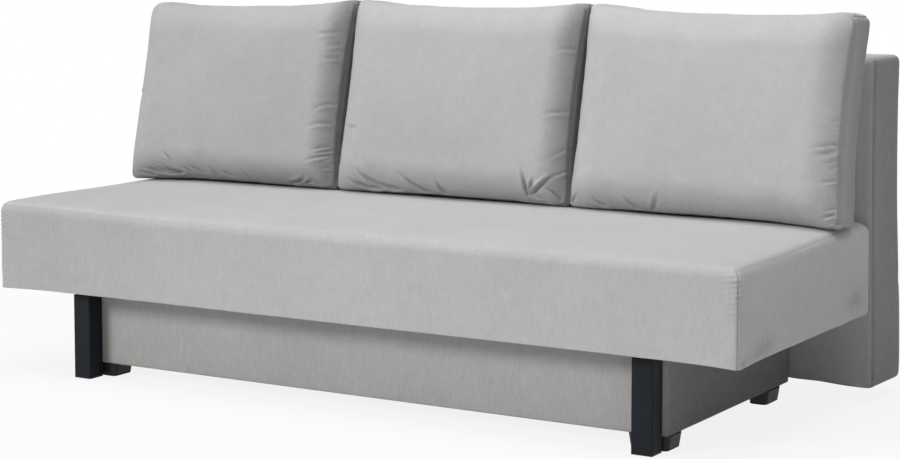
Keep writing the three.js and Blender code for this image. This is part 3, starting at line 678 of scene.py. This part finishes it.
BACK = {"side": 1000.0, "front": 759.0, "rear": 935.0, "low": 38.5, "high": 803.5, "crown": 4.0, "edge": 18.0}
POCKET_SIDES, POCKET_FROM, POCKET_TOP = (724.6, 741.9), 842.0, 162.0
POCKETS = both_sides(POCKET_SIDES, (POCKET_FROM, 1000.0), (0.0, POCKET_TOP))
RECESS = ((-982.0, 982.0), (905.2, 1000.0), (56.5, 785.5))
# The rear cloth: its half width, its ends and its two faces.
REAR_CLOTH = {"side": 981.4, "low": 57.0, "high": 785.0, "inner": 905.5, "outer": 907.6}


def make_back():
    side, front, rear, low, high = (BACK[k] for k in ("side", "front", "rear", "low", "high"))
    (_, recess_side), (recess_from, _), (recess_low, recess_high) = RECESS
    near = (3, 7, 12, 18)
    xs = lines(mirrored(side, recess_side, *POCKET_SIDES), 14, rim(-side, side, near))
    ys = lines([front, rear, POCKET_FROM, recess_from], 12, rim(front, rear, near))
    zs = lines([low, high, recess_low, recess_high, POCKET_TOP], 14, rim(low, high, near))
    flat, faces = skin(xs, ys, zs, [RECESS, *POCKETS])
    points = rounded(flat, (-side, front, low), (side, rear, high), BACK["edge"])
    middle = (0, (front + rear) / 2, (low + high) / 2)
    half = (side, (rear - front) / 2, (high - low) / 2)
    x, y, z = flat.T
    pocket = (within(flat, POCKETS[0]) | within(flat, POCKETS[1])) & (y < rear - 0.1)
    outer = ~(within(flat, RECESS) | pocket)
    crown = BACK["crown"]
    crowned = swell(points, middle, half, {(1, 0): crown, (2, 1): crown, (0, 0): -crown, (0, 1): -crown})
    points = np.where(outer[:, None], crowned, points)
    normal = normals_of(points, faces)
    on_side = np.abs(x) > side - 0.01
    slack = 1.0 * noise(flat, 190, 11) + 0.5 * noise(flat, 80, 12)
    bottom = ease(z, low + 60, low) * (1.4 * noise(flat * (1, 1, 0.2), 55, 13))
    # The cover stands a little full along the top, hangs at its outer lower corners and is wider below.
    tall = 4.5 * ease(z, 640, high) - 5.0 * ease(z, 190, low) * ease(np.abs(x), 830, 960)
    points[:, 2] += np.where(outer, tall, 0)
    wide = (13 - 7 * ease(y, rear, front)) * ease(z, 640, low) * ease(np.abs(x), 900, side)
    points[:, 0] += np.where(outer, np.sign(x) * wide, 0)
    # One shallow crease crosses each side.
    crease_height = 273
    crease = np.exp(-(((z - crease_height - 3 * noise(flat, 60, 14)) / 5.0) ** 2)) * on_side
    points += normal * np.where(outer, slack - 1.3 * crease + bottom, 0)[:, None]
    # A seam runs down both upright edges of each side panel.
    seam = on_side & ((np.abs(y - front) < 0.01) | (np.abs(y - rear) < 0.01))
    points -= normal * np.where(seam, 1.6, 0)[:, None]
    # Seam lines are darker, and the crease across each side is darkened as painted shade.
    shade = np.where(seam, 0.6, 0) + 0.25 * crease
    # Painted shade on both ends, and painted light on the front and top faces.
    painted_light_and_shade = -1.05 * ease(np.abs(x), side - 30, side - 2) + 0.75 * (y < front + 0.01) + 0.6 * (z > high - 0.01)
    values = {"seam": shade, "painted_light_and_shade": painted_light_and_shade}
    back = make_mesh("back_upholstery", points, faces, FABRIC_BACK, values=values)
    refine(back)
    piece(back, "back", ["back_cover"])


def make_back_panel():
    side, low, high = REAR_CLOTH["side"], REAR_CLOTH["low"], REAR_CLOTH["high"]
    xs = lines(mirrored(side, *POCKET_SIDES), 16)
    ys = np.array([REAR_CLOTH["inner"], REAR_CLOTH["outer"]])
    zs = lines([low, high, POCKET_TOP], 16)
    points, faces = skin(xs, ys, zs, POCKETS)
    x, y, z = points.T
    inward = np.minimum(side - np.abs(x), np.minimum(z - low, high - z))
    points[:, 1] += ease(inward, 0, 60) * (1.2 * noise(points, 130, 21) - 0.2)
    points[:, 1] += ease(inward, 45, 0) * 0.5 * noise(points, 24, 22)
    panel = make_mesh("back_rear_cloth", points, faces, FABRIC_BACK)
    piece(panel, "back", ["back_lining"])


# Foam and the seat's lining

SEAT_FOAM = ((-979.5, 979.5), (20.5, 729.5), (217.0, 400.5))
BACK_FOAM = ((-981.4, 981.4), (777.5, 904.6), (57.0, 785.0))
BACK_FRAME_SPACE = ((-965.0, 965.0), (877.0, 1000.0), (75.3, 768.4))
FOAM_EDGE = 5.0
LINING_LOW, LINING_HIGH, LINING_FACES = (-952.0, 48.0), (952.0, 700.0), (216.2, 217.1)
SLAT_PLACE = 321.0

def make_foam():
    (low_x, high_x), (low_y, high_y), (low_z, high_z) = SEAT_FOAM
    (_, space_side), (space_front, _), (_, space_top) = FRAME_SPACE
    xs = lines(mirrored(high_x, space_side, *SLOT_SIDES), 40, rim(low_x, high_x, (FOAM_EDGE,)))
    ys = lines([low_y, high_y, space_front, SLOT_FROM], 40, rim(low_y, high_y, (FOAM_EDGE,)))
    zs = lines([low_z, high_z, space_top, SLOT_TOP - 12], 30, [high_z - FOAM_EDGE])
    points, faces = skin(xs, ys, zs, [FRAME_SPACE, *SLOTS])
    points = rounded(points, (low_x, low_y, low_z), (high_x, high_y, high_z), FOAM_EDGE, flat=[(2, 0)])
    seat = make_mesh("seat_foam_block", points, faces, FOAM)
    piece(seat, "seat", ["seat_foam"])
    (low_x, high_x), (low_y, high_y), (low_z, high_z) = BACK_FOAM
    (_, space_side), (space_from, _), (space_low, space_high) = BACK_FRAME_SPACE
    xs = lines(mirrored(high_x, space_side, *POCKET_SIDES), 40, rim(low_x, high_x, (FOAM_EDGE,)))
    ys = lines([low_y, high_y, POCKET_FROM, space_from], 30, [low_y + FOAM_EDGE])
    zs = lines([low_z, high_z, space_low, space_high, POCKET_TOP], 40, rim(low_z, high_z, (FOAM_EDGE,)))
    points, faces = skin(xs, ys, zs, [BACK_FRAME_SPACE, *POCKETS])
    points = rounded(points, (low_x, low_y, low_z), (high_x, high_y, high_z), FOAM_EDGE, flat=[(1, 1)])
    back = make_mesh("back_foam_block", points, faces, FOAM)
    piece(back, "back", ["back_foam"])


def make_seat_lining():
    low, high = LINING_LOW, LINING_HIGH
    xs = lines([low[0], high[0]], 16)
    ys = lines([low[1], high[1]], 16)
    points, faces = skin(xs, ys, np.array(LINING_FACES))
    x, y, z = points.T
    inward = np.minimum(np.minimum(x - low[0], high[0] - x), np.minimum(y - low[1], high[1] - y))
    # It sags between the slats, and stays flat where the slide rails run.
    between = np.minimum(np.abs(np.abs(x) - SLAT_PLACE), 300) / 300
    sag = 3.2 * ease(inward, 0, 120) * ease(between, 0.05, 0.6) * ease(np.abs(x), 715, 690)
    points[:, 2] -= sag * (1 + 0.25 * noise(points, 90, 31))
    points[:, 2] += ease(inward, 40, 0) * 0.25 * noise(points, 22, 32)
    lining = make_mesh("seat_under_cloth", points, faces, LINING)
    piece(lining, "seat", ["seat_lining"])


# Box cover

BOX_SIDE, BOX_FRONT, BOX_REAR, BOX_LOW, BOX_HIGH, BOX_BEND = 803.0, 86.0, 744.0, 33.6, 206.0, 9.0

def box_path():
    """Round the box from the right rear to the left rear: x, y and the outward direction."""
    path = [(BOX_SIDE, y, 1.0, 0.0) for y in lines([BOX_FRONT + BOX_BEND, BOX_REAR], 14)[::-1]]
    centre = BOX_SIDE - BOX_BEND
    for corner in (0, 1):
        for i in range(1, 6):
            a = math.pi / 2 * (i / 6 + corner)
            x = (centre, -centre)[corner] + BOX_BEND * math.cos(a)
            path.append((x, BOX_FRONT + BOX_BEND - BOX_BEND * math.sin(a), math.cos(a), -math.sin(a)))
        if corner == 0:
            path += [(x, BOX_FRONT, 0.0, -1.0) for x in lines([-centre, centre], 14)[::-1]]
    path += [(-BOX_SIDE, y, -1.0, 0.0) for y in lines([BOX_FRONT + BOX_BEND, BOX_REAR], 14)]
    return np.array(path)


def make_box_cover():
    low, high = BOX_LOW, BOX_HIGH
    path = box_path()
    # The cloth starts under the bottom edge and ends inside the top edge: (height, how far in).
    cut = [(low + 0.2, 9.0), (low, 5.0), (low + 0.3, 2.2), (low + 1.6, 0.6), (low + 5, 0.0)]
    cut += [(z, 0.0) for z in lines([low + 5, high - 4], 14)[1:]]
    cut += [(high - 1.2, 0.3), (high + 0.2, 1.4), (high + 0.8, 3.0), (high + 0.9, 9.0), (high + 0.9, 19.6)]
    cut += [(high - 0.5, 21.9), (high - 6, 22.2), (high - 16, 22.2)]
    rows, wide = len(path), len(cut)
    points = np.array([(x - nx * inward, y - ny * inward, z) for x, y, nx, ny in path for z, inward in cut])
    faces = [
        (i * wide + j, i * wide + j + 1, (i + 1) * wide + j + 1, (i + 1) * wide + j)
        for i in range(rows - 1)
        for j in range(wide - 1)
    ]
    outward = np.repeat(path[:, 2:], wide, axis=0)
    z = points[:, 2]
    along = np.repeat(np.arange(rows) * 14.0, wide)
    field = np.stack([along, np.zeros_like(along), z], axis=1)
    wave = 0.7 * noise(field, 150, 41) + ease(z, low + 45, low) * 0.8 * noise(field * (1, 1, 0.2), 34, 42)
    wave = np.minimum(wave, 0.9) * ease(z, high + 0.5, high - 30)
    points[:, :2] += outward * (wave - 0.4)[:, None]
    # The sides are painted darker, as painted shade.
    cover = make_mesh("box_cloth", points, faces, FABRIC_BOX, values={"painted_light_and_shade": -np.abs(outward[:, 0])})
    thick = cover.modifiers.new("thickness", "SOLIDIFY")
    thick.thickness, thick.offset = 0.0016, -1
    piece(cover, "base", ["box_front_cover", "box_left_cover", "box_right_cover"])


# Cushions

# Half a cushion's size at its seams, and how far its panels stand out in front and behind.
CUSHION_HALF = np.array([332.0, 48.0, 245.0])
SIDE, DEEP, TALL = CUSHION_HALF
CUSHION_EDGE, CUSHION_FRONT, CUSHION_REAR = 11.0, 52.0, 70.0
LEAN = math.radians(11.5)
TURN = np.array([[1, 0, 0], [0, math.cos(LEAN), -math.sin(LEAN)], [0, math.sin(LEAN), math.cos(LEAN)]])

# Folds on each front panel: across and up from its middle, for three points. Each starts at its deep end.
FOLDS = {
    "left": (
        (-166, -224, -235, -217, -279, -203), (-153, -222, -197, -216, -239, -202),
        (-140, -221, -181, -215, -214, -192), (-109, -220, -125, -210, -142, -199),
        (-71, -221, -90, -211, -125, -196), (-25, -223, -42, -211, -57, -199),
        (-237, -229, -268, -225, -306, -221), (-89, -218, -101, -209, -112, -201),
        (-169, -193, -185, -179, -202, -167), (27, -225, 1, -216, -12, -208),
        (74, -225, 63, -215, 57, -206), (245, -230, 260, -224, 275, -217),
        (200, -230, 229, -224, 256, -213), (311, -77, 280, -78, 237, -92),
        (313, -104, 297, -104, 277, -107), (319, -166, 309, -168, 299, -172),
        (316, -148, 298, -150, 275, -156), (314, -159, 285, -164, 248, -176),
        (309, -137, 286, -141, 268, -149), (317, -189, 306, -189, 296, -193),
        (286, -231, 273, -225, 265, -223), (301, 156, 268, 154, 236, 146),
        (311, 125, 291, 124, 257, 116), (314, 91, 285, 90, 256, 86),
        (-316, -23, -311, -8, -276, -2), (316, -31, 280, -33, 257, -57),
    ),
    "middle": (
        (-183, -229, -249, -222, -295, -200), (-133, -228, -210, -211, -264, -174),
        (-197, -226, -218, -216, -233, -200), (-46, -232, -92, -210, -132, -178),
        (-77, -230, -100, -214, -108, -199), (234, -222, 228, -187, 215, -150),
        (241, -218, 248, -194, 257, -171), (245, -217, 275, -192, 311, -164),
        (316, -228, 299, -209, 276, -196), (319, -21, 283, -23, 251, -33),
        (-296, -83, -272, -82, -251, -85), (324, -160, 311, -168, 286, -180),
        (270, -225, 256, -221, 241, -218), (320, 126, 299, 129, 268, 124),
        (320, -111, 303, -120, 278, -142), (2, -232, -14, -213, -24, -179),
    ),
    "right": (
        (-226, -231, -246, -222, -265, -203), (-319, -230, -310, -217, -296, -201),
        (-145, -232, -167, -216, -177, -195), (-110, -231, -99, -208, -85, -182),
        (319, -56, 291, -61, 246, -72), (318, -66, 296, -76, 259, -87),
        (317, -74, 300, -83, 267, -94), (318, -91, 305, -96, 287, -103),
        (318, -106, 309, -111, 296, -116), (324, -196, 313, -198, 297, -202),
        (322, -207, 305, -213, 288, -220), (330, -228, 323, -227, 313, -225),
        (-329, -222, -324, -209, -323, -191), (320, -137, 306, -140, 286, -144),
        (318, -2, 310, -5, 294, -8),
    ),
}

# How much further than the plain block an upper corner reaches, left and right: up, and along the seat.
STUFFING = {"left": ((-8, 2), (-20, -10)), "middle": ((3, 5), (-15, -10)), "right": ((4, 0), (-15, 6))}


def fold_heights(u, v, folds):
    """How far each point of a panel stands out, for valleys along the folds with a ridge on one side."""
    total = np.zeros(len(u))
    for fold in folds:
        start, middle, end = np.array(fold, float).reshape(3, 2)
        t = np.linspace(0, 1, 22)[:, None]
        path = (1 - t) ** 2 * start + 2 * t * (1 - t) * (2 * middle - (start + end) / 2) + t**2 * end
        long = np.linalg.norm(np.diff(path, axis=0), axis=1).sum()
        width, depth = 2.8 + 0.012 * long, min(9.0, 2.0 + 0.075 * long)
        if abs(start[0]) > 290 and start[1] > -200:
            depth *= 0.6
        near = (u > path[:, 0].min() - 40) & (u < path[:, 0].max() + 40)
        near &= (v > path[:, 1].min() - 40) & (v < path[:, 1].max() + 40)
        points = np.stack([u[near], v[near]], axis=1)
        a, step = path[:-1], np.diff(path, axis=0)
        away = points[:, None] - a
        share = np.clip((away * step).sum(axis=2) / (step**2).sum(axis=1), 0, 1)
        gap = away - share[:, :, None] * step
        distance = np.linalg.norm(gap, axis=2)
        k = distance.argmin(axis=1)
        row = np.arange(len(points))
        side = np.sign(step[k, 0] * gap[row, k, 1] - step[k, 1] * gap[row, k, 0])
        d = side * distance[row, k]
        along = (k + share[row, k]) / len(a)
        taper = ease(along, -0.05, 0.1) * (1 - ease(along, 0.4, 1.0))
        shape = -np.exp(-((d / width) ** 2)) + 0.7 * np.exp(-(((d - 1.9 * width) / (1.3 * width)) ** 2))
        total[near] += depth * taper * shape
    return total


def cushion_place(node):
    """The middle between the seams of a cushion's CAD solid, upright."""
    upright = points_of(NODES[node]) @ TURN.T
    low, high = upright.min(axis=0), upright.max(axis=0)
    return np.array([(low[0] + high[0]) / 2, low[1] + CUSHION_FRONT + DEEP, (low[2] + high[2]) / 2])


def inflate(obj, seams, frames, cap, pressure):
    """Blows a cushion up as cloth, and keeps each point within cap of where it was."""
    start = points_of(obj)
    cloth = obj.modifiers.new("cloth", "CLOTH")
    s = cloth.settings
    s.quality = 5
    s.mass = 0.3
    s.tension_stiffness = s.compression_stiffness = 10
    s.shear_stiffness = 4
    s.bending_stiffness = 0.3
    s.use_pressure = True
    s.uniform_pressure_force = pressure
    s.effector_weights.gravity = 0
    s.vertex_group_shrink = seams
    s.shrink_min, s.shrink_max = 0.0, 0.035
    cloth.collision_settings.use_collision = False
    cloth.point_cache.frame_start, cloth.point_cache.frame_end = 1, frames
    scene = bpy.context.scene
    for number in range(1, frames + 1):
        scene.frame_set(number)
    step = points_of(obj.evaluated_get(bpy.context.evaluated_depsgraph_get())) - start
    obj.modifiers.remove(cloth)
    scene.frame_set(1)
    length = np.linalg.norm(step, axis=1, keepdims=True)
    put_points(obj, start + step * np.minimum(1, cap / np.maximum(length, 1e-6)))


def panel_dome(u, v):
    """A panel's height, from 0 at its seams to 1: nearly flat, and rolling off towards them along arcs."""
    roll, turn = 85.0, 0.88
    full = 1 - math.sqrt(1 - turn**2)
    rolls = []
    for share, size in ((u, SIDE), (v, TALL)):
        turned = turn * np.clip(1 - (1 - np.abs(share)) * size / roll, 0, 1)
        rolls.append(1 - (1 - np.sqrt(1 - turned**2)) / full)
    return rolls[0] * rolls[1] * (0.86 + 0.14 * (1 - u**2) * (1 - v**2))


def cushion_grid():
    """Grid lines across, through and up a cushion, close together where its folds are."""
    near = (3.2, 7, 11, 17)
    across = [*lines([-SIDE, -190], 5.0, [d - SIDE for d in near]), *lines([-190, 190], 11)[1:-1]]
    across += [*lines([190, SIDE], 5.0, [SIDE - d for d in near])]
    up = [*lines([-TALL, -135], 4.4, [d - TALL for d in near]), *lines([-135, 170], 10)[1:-1]]
    up += [*lines([170, TALL], 9, [TALL - d for d in near])]
    return np.array(across), lines([-DEEP, DEEP], 12, rim(-DEEP, DEEP, near)), np.array(up)


def cushion_block(seed, outer_side):
    """A boxed cushion before it is blown up, and where its seams run."""
    flat, faces = skin(*cushion_grid())
    u, w, v = (flat / CUSHION_HALF).T
    at_end = np.abs(np.abs(np.stack([u, w, v])) - 1) < 1e-6
    seam = at_end.sum(axis=0) >= 2
    points = rounded(flat, -CUSHION_HALF, CUSHION_HALF, CUSHION_EDGE)
    # Seen from the front its corners are round, the sofa's outer upper ones more.
    turn = np.where((v > 0) & (u * outer_side > 0), 28.0, 12.0)
    a, b = (np.abs(points[:, 0]) - SIDE + turn) / turn, (np.abs(points[:, 2]) - TALL + turn) / turn
    share = np.where((a > 0) & (b > 0), np.maximum(a, b) / np.maximum(np.hypot(a, b), 1e-9), 1)
    points[:, 0] = np.where(share < 1, np.sign(u) * (SIDE - turn + turn * a * share), points[:, 0])
    points[:, 2] = np.where(share < 1, np.sign(v) * (TALL - turn + turn * b * share), points[:, 2])
    # Its panels stand out already, a little less than in the end, and its sides are drawn in.
    depth = np.where(w < 0, 0.85 * CUSHION_FRONT, 0.8 * CUSHION_REAR)
    points[:, 1] += np.sign(w) * depth * panel_dome(u, v) * np.abs(w) ** 3
    points[:, 0] -= np.sign(u) * 9 * (1 - v**2) * np.abs(u) ** 3
    points[:, 2] -= np.where(v > 0, 9.0, 2.0) * np.sign(v) * (1 - u**2) * np.abs(v) ** 3
    points += normals_of(points, faces) * (0.7 * noise(flat + seed * 500, 60, seed))[:, None]
    return points, faces, seam


def brought_to_size(points):
    """Inflating draws the seams together, so the cushion is brought back to its size."""
    points[:, 0] *= SIDE / np.abs(points[:, 0]).max()
    points[:, 2] *= TALL / np.abs(points[:, 2]).max()
    for sign, crown in ((-1, CUSHION_FRONT), (1, CUSHION_REAR)):
        out = sign * points[:, 1] - DEEP
        shape = out / max(out.max(), 1)
        if sign < 0:
            share = np.clip(points[:, [0, 2]] / (SIDE, TALL), -1, 1)
            shape = 0.3 * shape + 0.7 * panel_dome(share[:, 0], share[:, 1])
        points[:, 1] = np.where(out > 0, sign * (DEEP + crown * shape), points[:, 1])
    # Its lower front edge rolls under.
    from_edge = ((points[:, 1] + DEEP) ** 2 + (points[:, 2] + TALL) ** 2) / 38.0**2
    inner = ease(SIDE - np.abs(points[:, 0]), 20, 120)
    points[:, 1:] += (np.exp(-from_edge) * inner)[:, None] * (15.0, -7.0)
    return points


def small_gathers(points, to_side, to_end, seed):
    """Small gathers cross every seam, and the cloth waves a little everywhere."""
    by_side, by_end = np.exp(-np.maximum(to_side, 0) / 22), np.exp(-np.maximum(to_end, 0) / 22)
    height = 1.0 * by_side * noise(points * (0.25, 0.5, 1), 15, seed + 50)
    height += 1.1 * by_end * noise(points * (1, 0.5, 0.25), 15, seed + 60)
    return height + 0.9 * noise(points, 85, seed + 70)


def cushion_painted_shade(points, normal, front, place):
    """Painted shade on the side boxing, most between two cushions, on the front panel towards its right and
    lower edges, and a little over each whole cushion, most on the left one.
    """
    u, w, v = points.T
    right_share = 0.3 + 0.4 * ease(w, -40, 30) if place == "right" else 1.0
    boxing = right_share * ease(u, SIDE - 30, SIDE - 8)
    if place != "left":
        boxing += ease(-u, SIDE - 30, SIDE - 8)
    boxing *= ease(np.abs(normal[:, 0]), 0.5, 0.85)
    turning = (0.35 if place == "right" else 0.95) * ease(u, SIDE - 78, SIDE - 16)
    lower = (0.75 if place == "left" else 0.5) * ease(-v, TALL - 75, TALL - 12)
    plain = {"left": -0.4, "middle": -0.19, "right": -0.08}[place]
    return plain - np.maximum(boxing, front * np.maximum(turning, lower))


def leaned(points, place):
    """Where a cushion's points lie once it has settled on the crowned seat and against the slab."""
    at = cushion_place(f"cushion_{place}")
    rigid = (points + at) @ TURN
    under = (points * (1, 1, 0) - (0, 0, TALL) + at) @ TURN
    gap = under[:, 2] - seat_height(under[:, 0], under[:, 1])
    low = ease(points[:, 2], 100 - TALL, 5 - TALL)
    rigid[:, 2] -= (0.62 + 0.38 * low) * np.clip(gap, -3, 40)
    # Each one is filled a little differently.
    lift, reach = STUFFING[place]
    share = (points[:, 0] / SIDE + 1) / 2
    upper = ease(points[:, 2], -TALL, TALL)
    rigid[:, 2] += (lift[0] * (1 - share) + lift[1] * share) * upper
    rigid[:, 0] += (reach[0] * (1 - share) + reach[1] * share) * (1 - 0.3 * upper)
    rigid[:, 2] = np.maximum(rigid[:, 2], seat_height(rigid[:, 0], rigid[:, 1]) + 1.0)
    wall = BACK["front"] - BACK["crown"] - 1.0
    rigid[:, 1] = np.where(rigid[:, 2] < BACK["high"] + 4, np.minimum(rigid[:, 1], wall), rigid[:, 1])
    return rigid


def make_cushion(place, seed):
    body = f"cushion_{place}"
    centre = (0, MIDDLE_Y, 0)
    points, faces, seam = cushion_block(seed, {"left": -1, "middle": 0, "right": 1}[place])
    cushion = make_mesh(body + "_pad", points + centre, faces, FABRIC_CUSHION, values={"seam": seam})
    cushion.vertex_groups.new(name="seams").add([int(i) for i in np.flatnonzero(seam)], 1.0, "REPLACE")
    inflate(cushion, "seams", frames=20, cap=12.0, pressure=4.0)
    refine(cushion)
    points = brought_to_size(points_of(cushion) - centre)
    normal = normals_of(points, faces_of(cushion))
    seam = np.empty(len(points), np.float32)
    cushion.data.attributes["seam"].data.foreach_get("value", seam)
    front = ease(points[:, 1], 15, -35)
    creases = fold_heights(points[:, 0], points[:, 2], FOLDS[place]) * front
    to_side, to_end = SIDE - np.abs(points[:, 0]), TALL - np.abs(points[:, 2])
    points += normal * (small_gathers(points, to_side, to_end, seed) - 0.4 * seam)[:, None]
    points[:, 1] -= creases
    # Painted shade on the boxing, towards the front panel's edges and over the whole cushion.
    put_value(cushion, "painted_light_and_shade", cushion_painted_shade(points, normal, front, place))
    # The seam lines are a little darker, and the folds' valleys are darkened as painted shade.
    put_value(cushion, "seam", 0.15 * seam + 0.85 * np.clip(-creases / 5, 0, 1))
    put_value(cushion, "crinkle_side", np.exp(-np.maximum(to_side, 0) / 34) * ease(to_end, 0, 30))
    put_value(cushion, "crinkle_end", np.exp(-np.maximum(to_end, 0) / 34) * ease(to_side, 0, 30))
    put_points(cushion, leaned(points, place))
    piece(cushion, body, [body])


# Feet and metal

# A foot's outline at a few heights: the height, how far in it is, and the radius of its corners.
FOOT_RINGS = ((0.0, 5.6, 11), (1.2, 4.4, 12), (3.2, 4.0, 12.5), (4.0, 4.6, 12), (5.2, 4.6, 12))
FOOT_RINGS += ((6.0, 3.6, 13), (28.0, 0.6, 15), (29.5, 0.0, 15.5), (32.2, 0.0, 15.5), (33.0, 0.7, 15))

def rounded_loop(x0, x1, y0, y1, radius, z, count=6):
    loop = []
    left, right, front, rear = x0 + radius, x1 - radius, y0 + radius, y1 - radius
    for k, (cx, cy) in enumerate(((right, rear), (left, rear), (left, front), (right, front))):
        for i in range(count + 1):
            a = math.pi / 2 * (k + i / count)
            loop.append((cx + radius * math.cos(a), cy + radius * math.sin(a), z))
    return loop


def loft(loops):
    count = len(loops[0])
    points = [p for loop in loops for p in loop]
    faces = [
        (r * count + i, r * count + (i + 1) % count, (r + 1) * count + (i + 1) % count, (r + 1) * count + i)
        for r in range(len(loops) - 1)
        for i in range(count)
    ]
    faces.append(tuple(range(count))[::-1])
    faces.append(tuple((len(loops) - 1) * count + i for i in range(count)))
    return points, faces


def make_feet():
    for node in ("foot_front_left", "foot_front_right", "foot_rear_left", "foot_rear_right"):
        low, high = (np.array(v) * 1000 + (0, MIDDLE_Y, 0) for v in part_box(node))
        loops = []
        for z, inset, radius in FOOT_RINGS:
            sides = (low[0] + inset, high[0] - inset, low[1] + inset, high[1] - inset)
            loops.append(rounded_loop(*sides, radius, z))
        points, faces = loft(loops)
        foot = make_mesh(node + "_moulded", points, faces, BLACK, smooth=False)
        bevel = foot.modifiers.new("edges", "BEVEL")
        bevel.width, bevel.segments, bevel.limit_method = 0.0005, 2, "ANGLE"
        piece(foot, "base", [node])


def dress_nodes():
    """Gives the CAD nodes that stay their materials and softened edges."""
    looks = {"zinc_steel": ZINC, "graphite_steel": GRAPHITE, "black_plastic": BLACK, "chipboard": CHIPS}
    for name, obj in NODES.items():
        if obj.hide_render or not obj.data.materials:
            continue
        slot = obj.data.materials[0].name.split(".")[0]
        finish = looks.get(slot)
        if slot == "pine":
            low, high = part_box(name)
            size = [b - a for a, b in zip(low, high)]
            finish = (PINE_X, PINE_Y, PINE_Z)[size.index(max(size))]
        if finish is None:
            continue
        obj.material_slots[0].link = "OBJECT"
        obj.material_slots[0].material = finish
        bevel = obj.modifiers.new("edges", "BEVEL")
        bevel.width = 0.0016 if slot == "pine" else 0.0008
        bevel.segments, bevel.limit_method, bevel.angle_limit = 2, "ANGLE", math.radians(35)


make_camera()
make_light()
make_floor()
make_seat()
make_back()
make_back_panel()
make_foam()
make_seat_lining()
make_box_cover()
for number, place in enumerate(FOLDS):
    make_cushion(place, number + 1)
make_feet()
dress_nodes()

bpy.context.scene.view_settings.view_transform = "Standard"
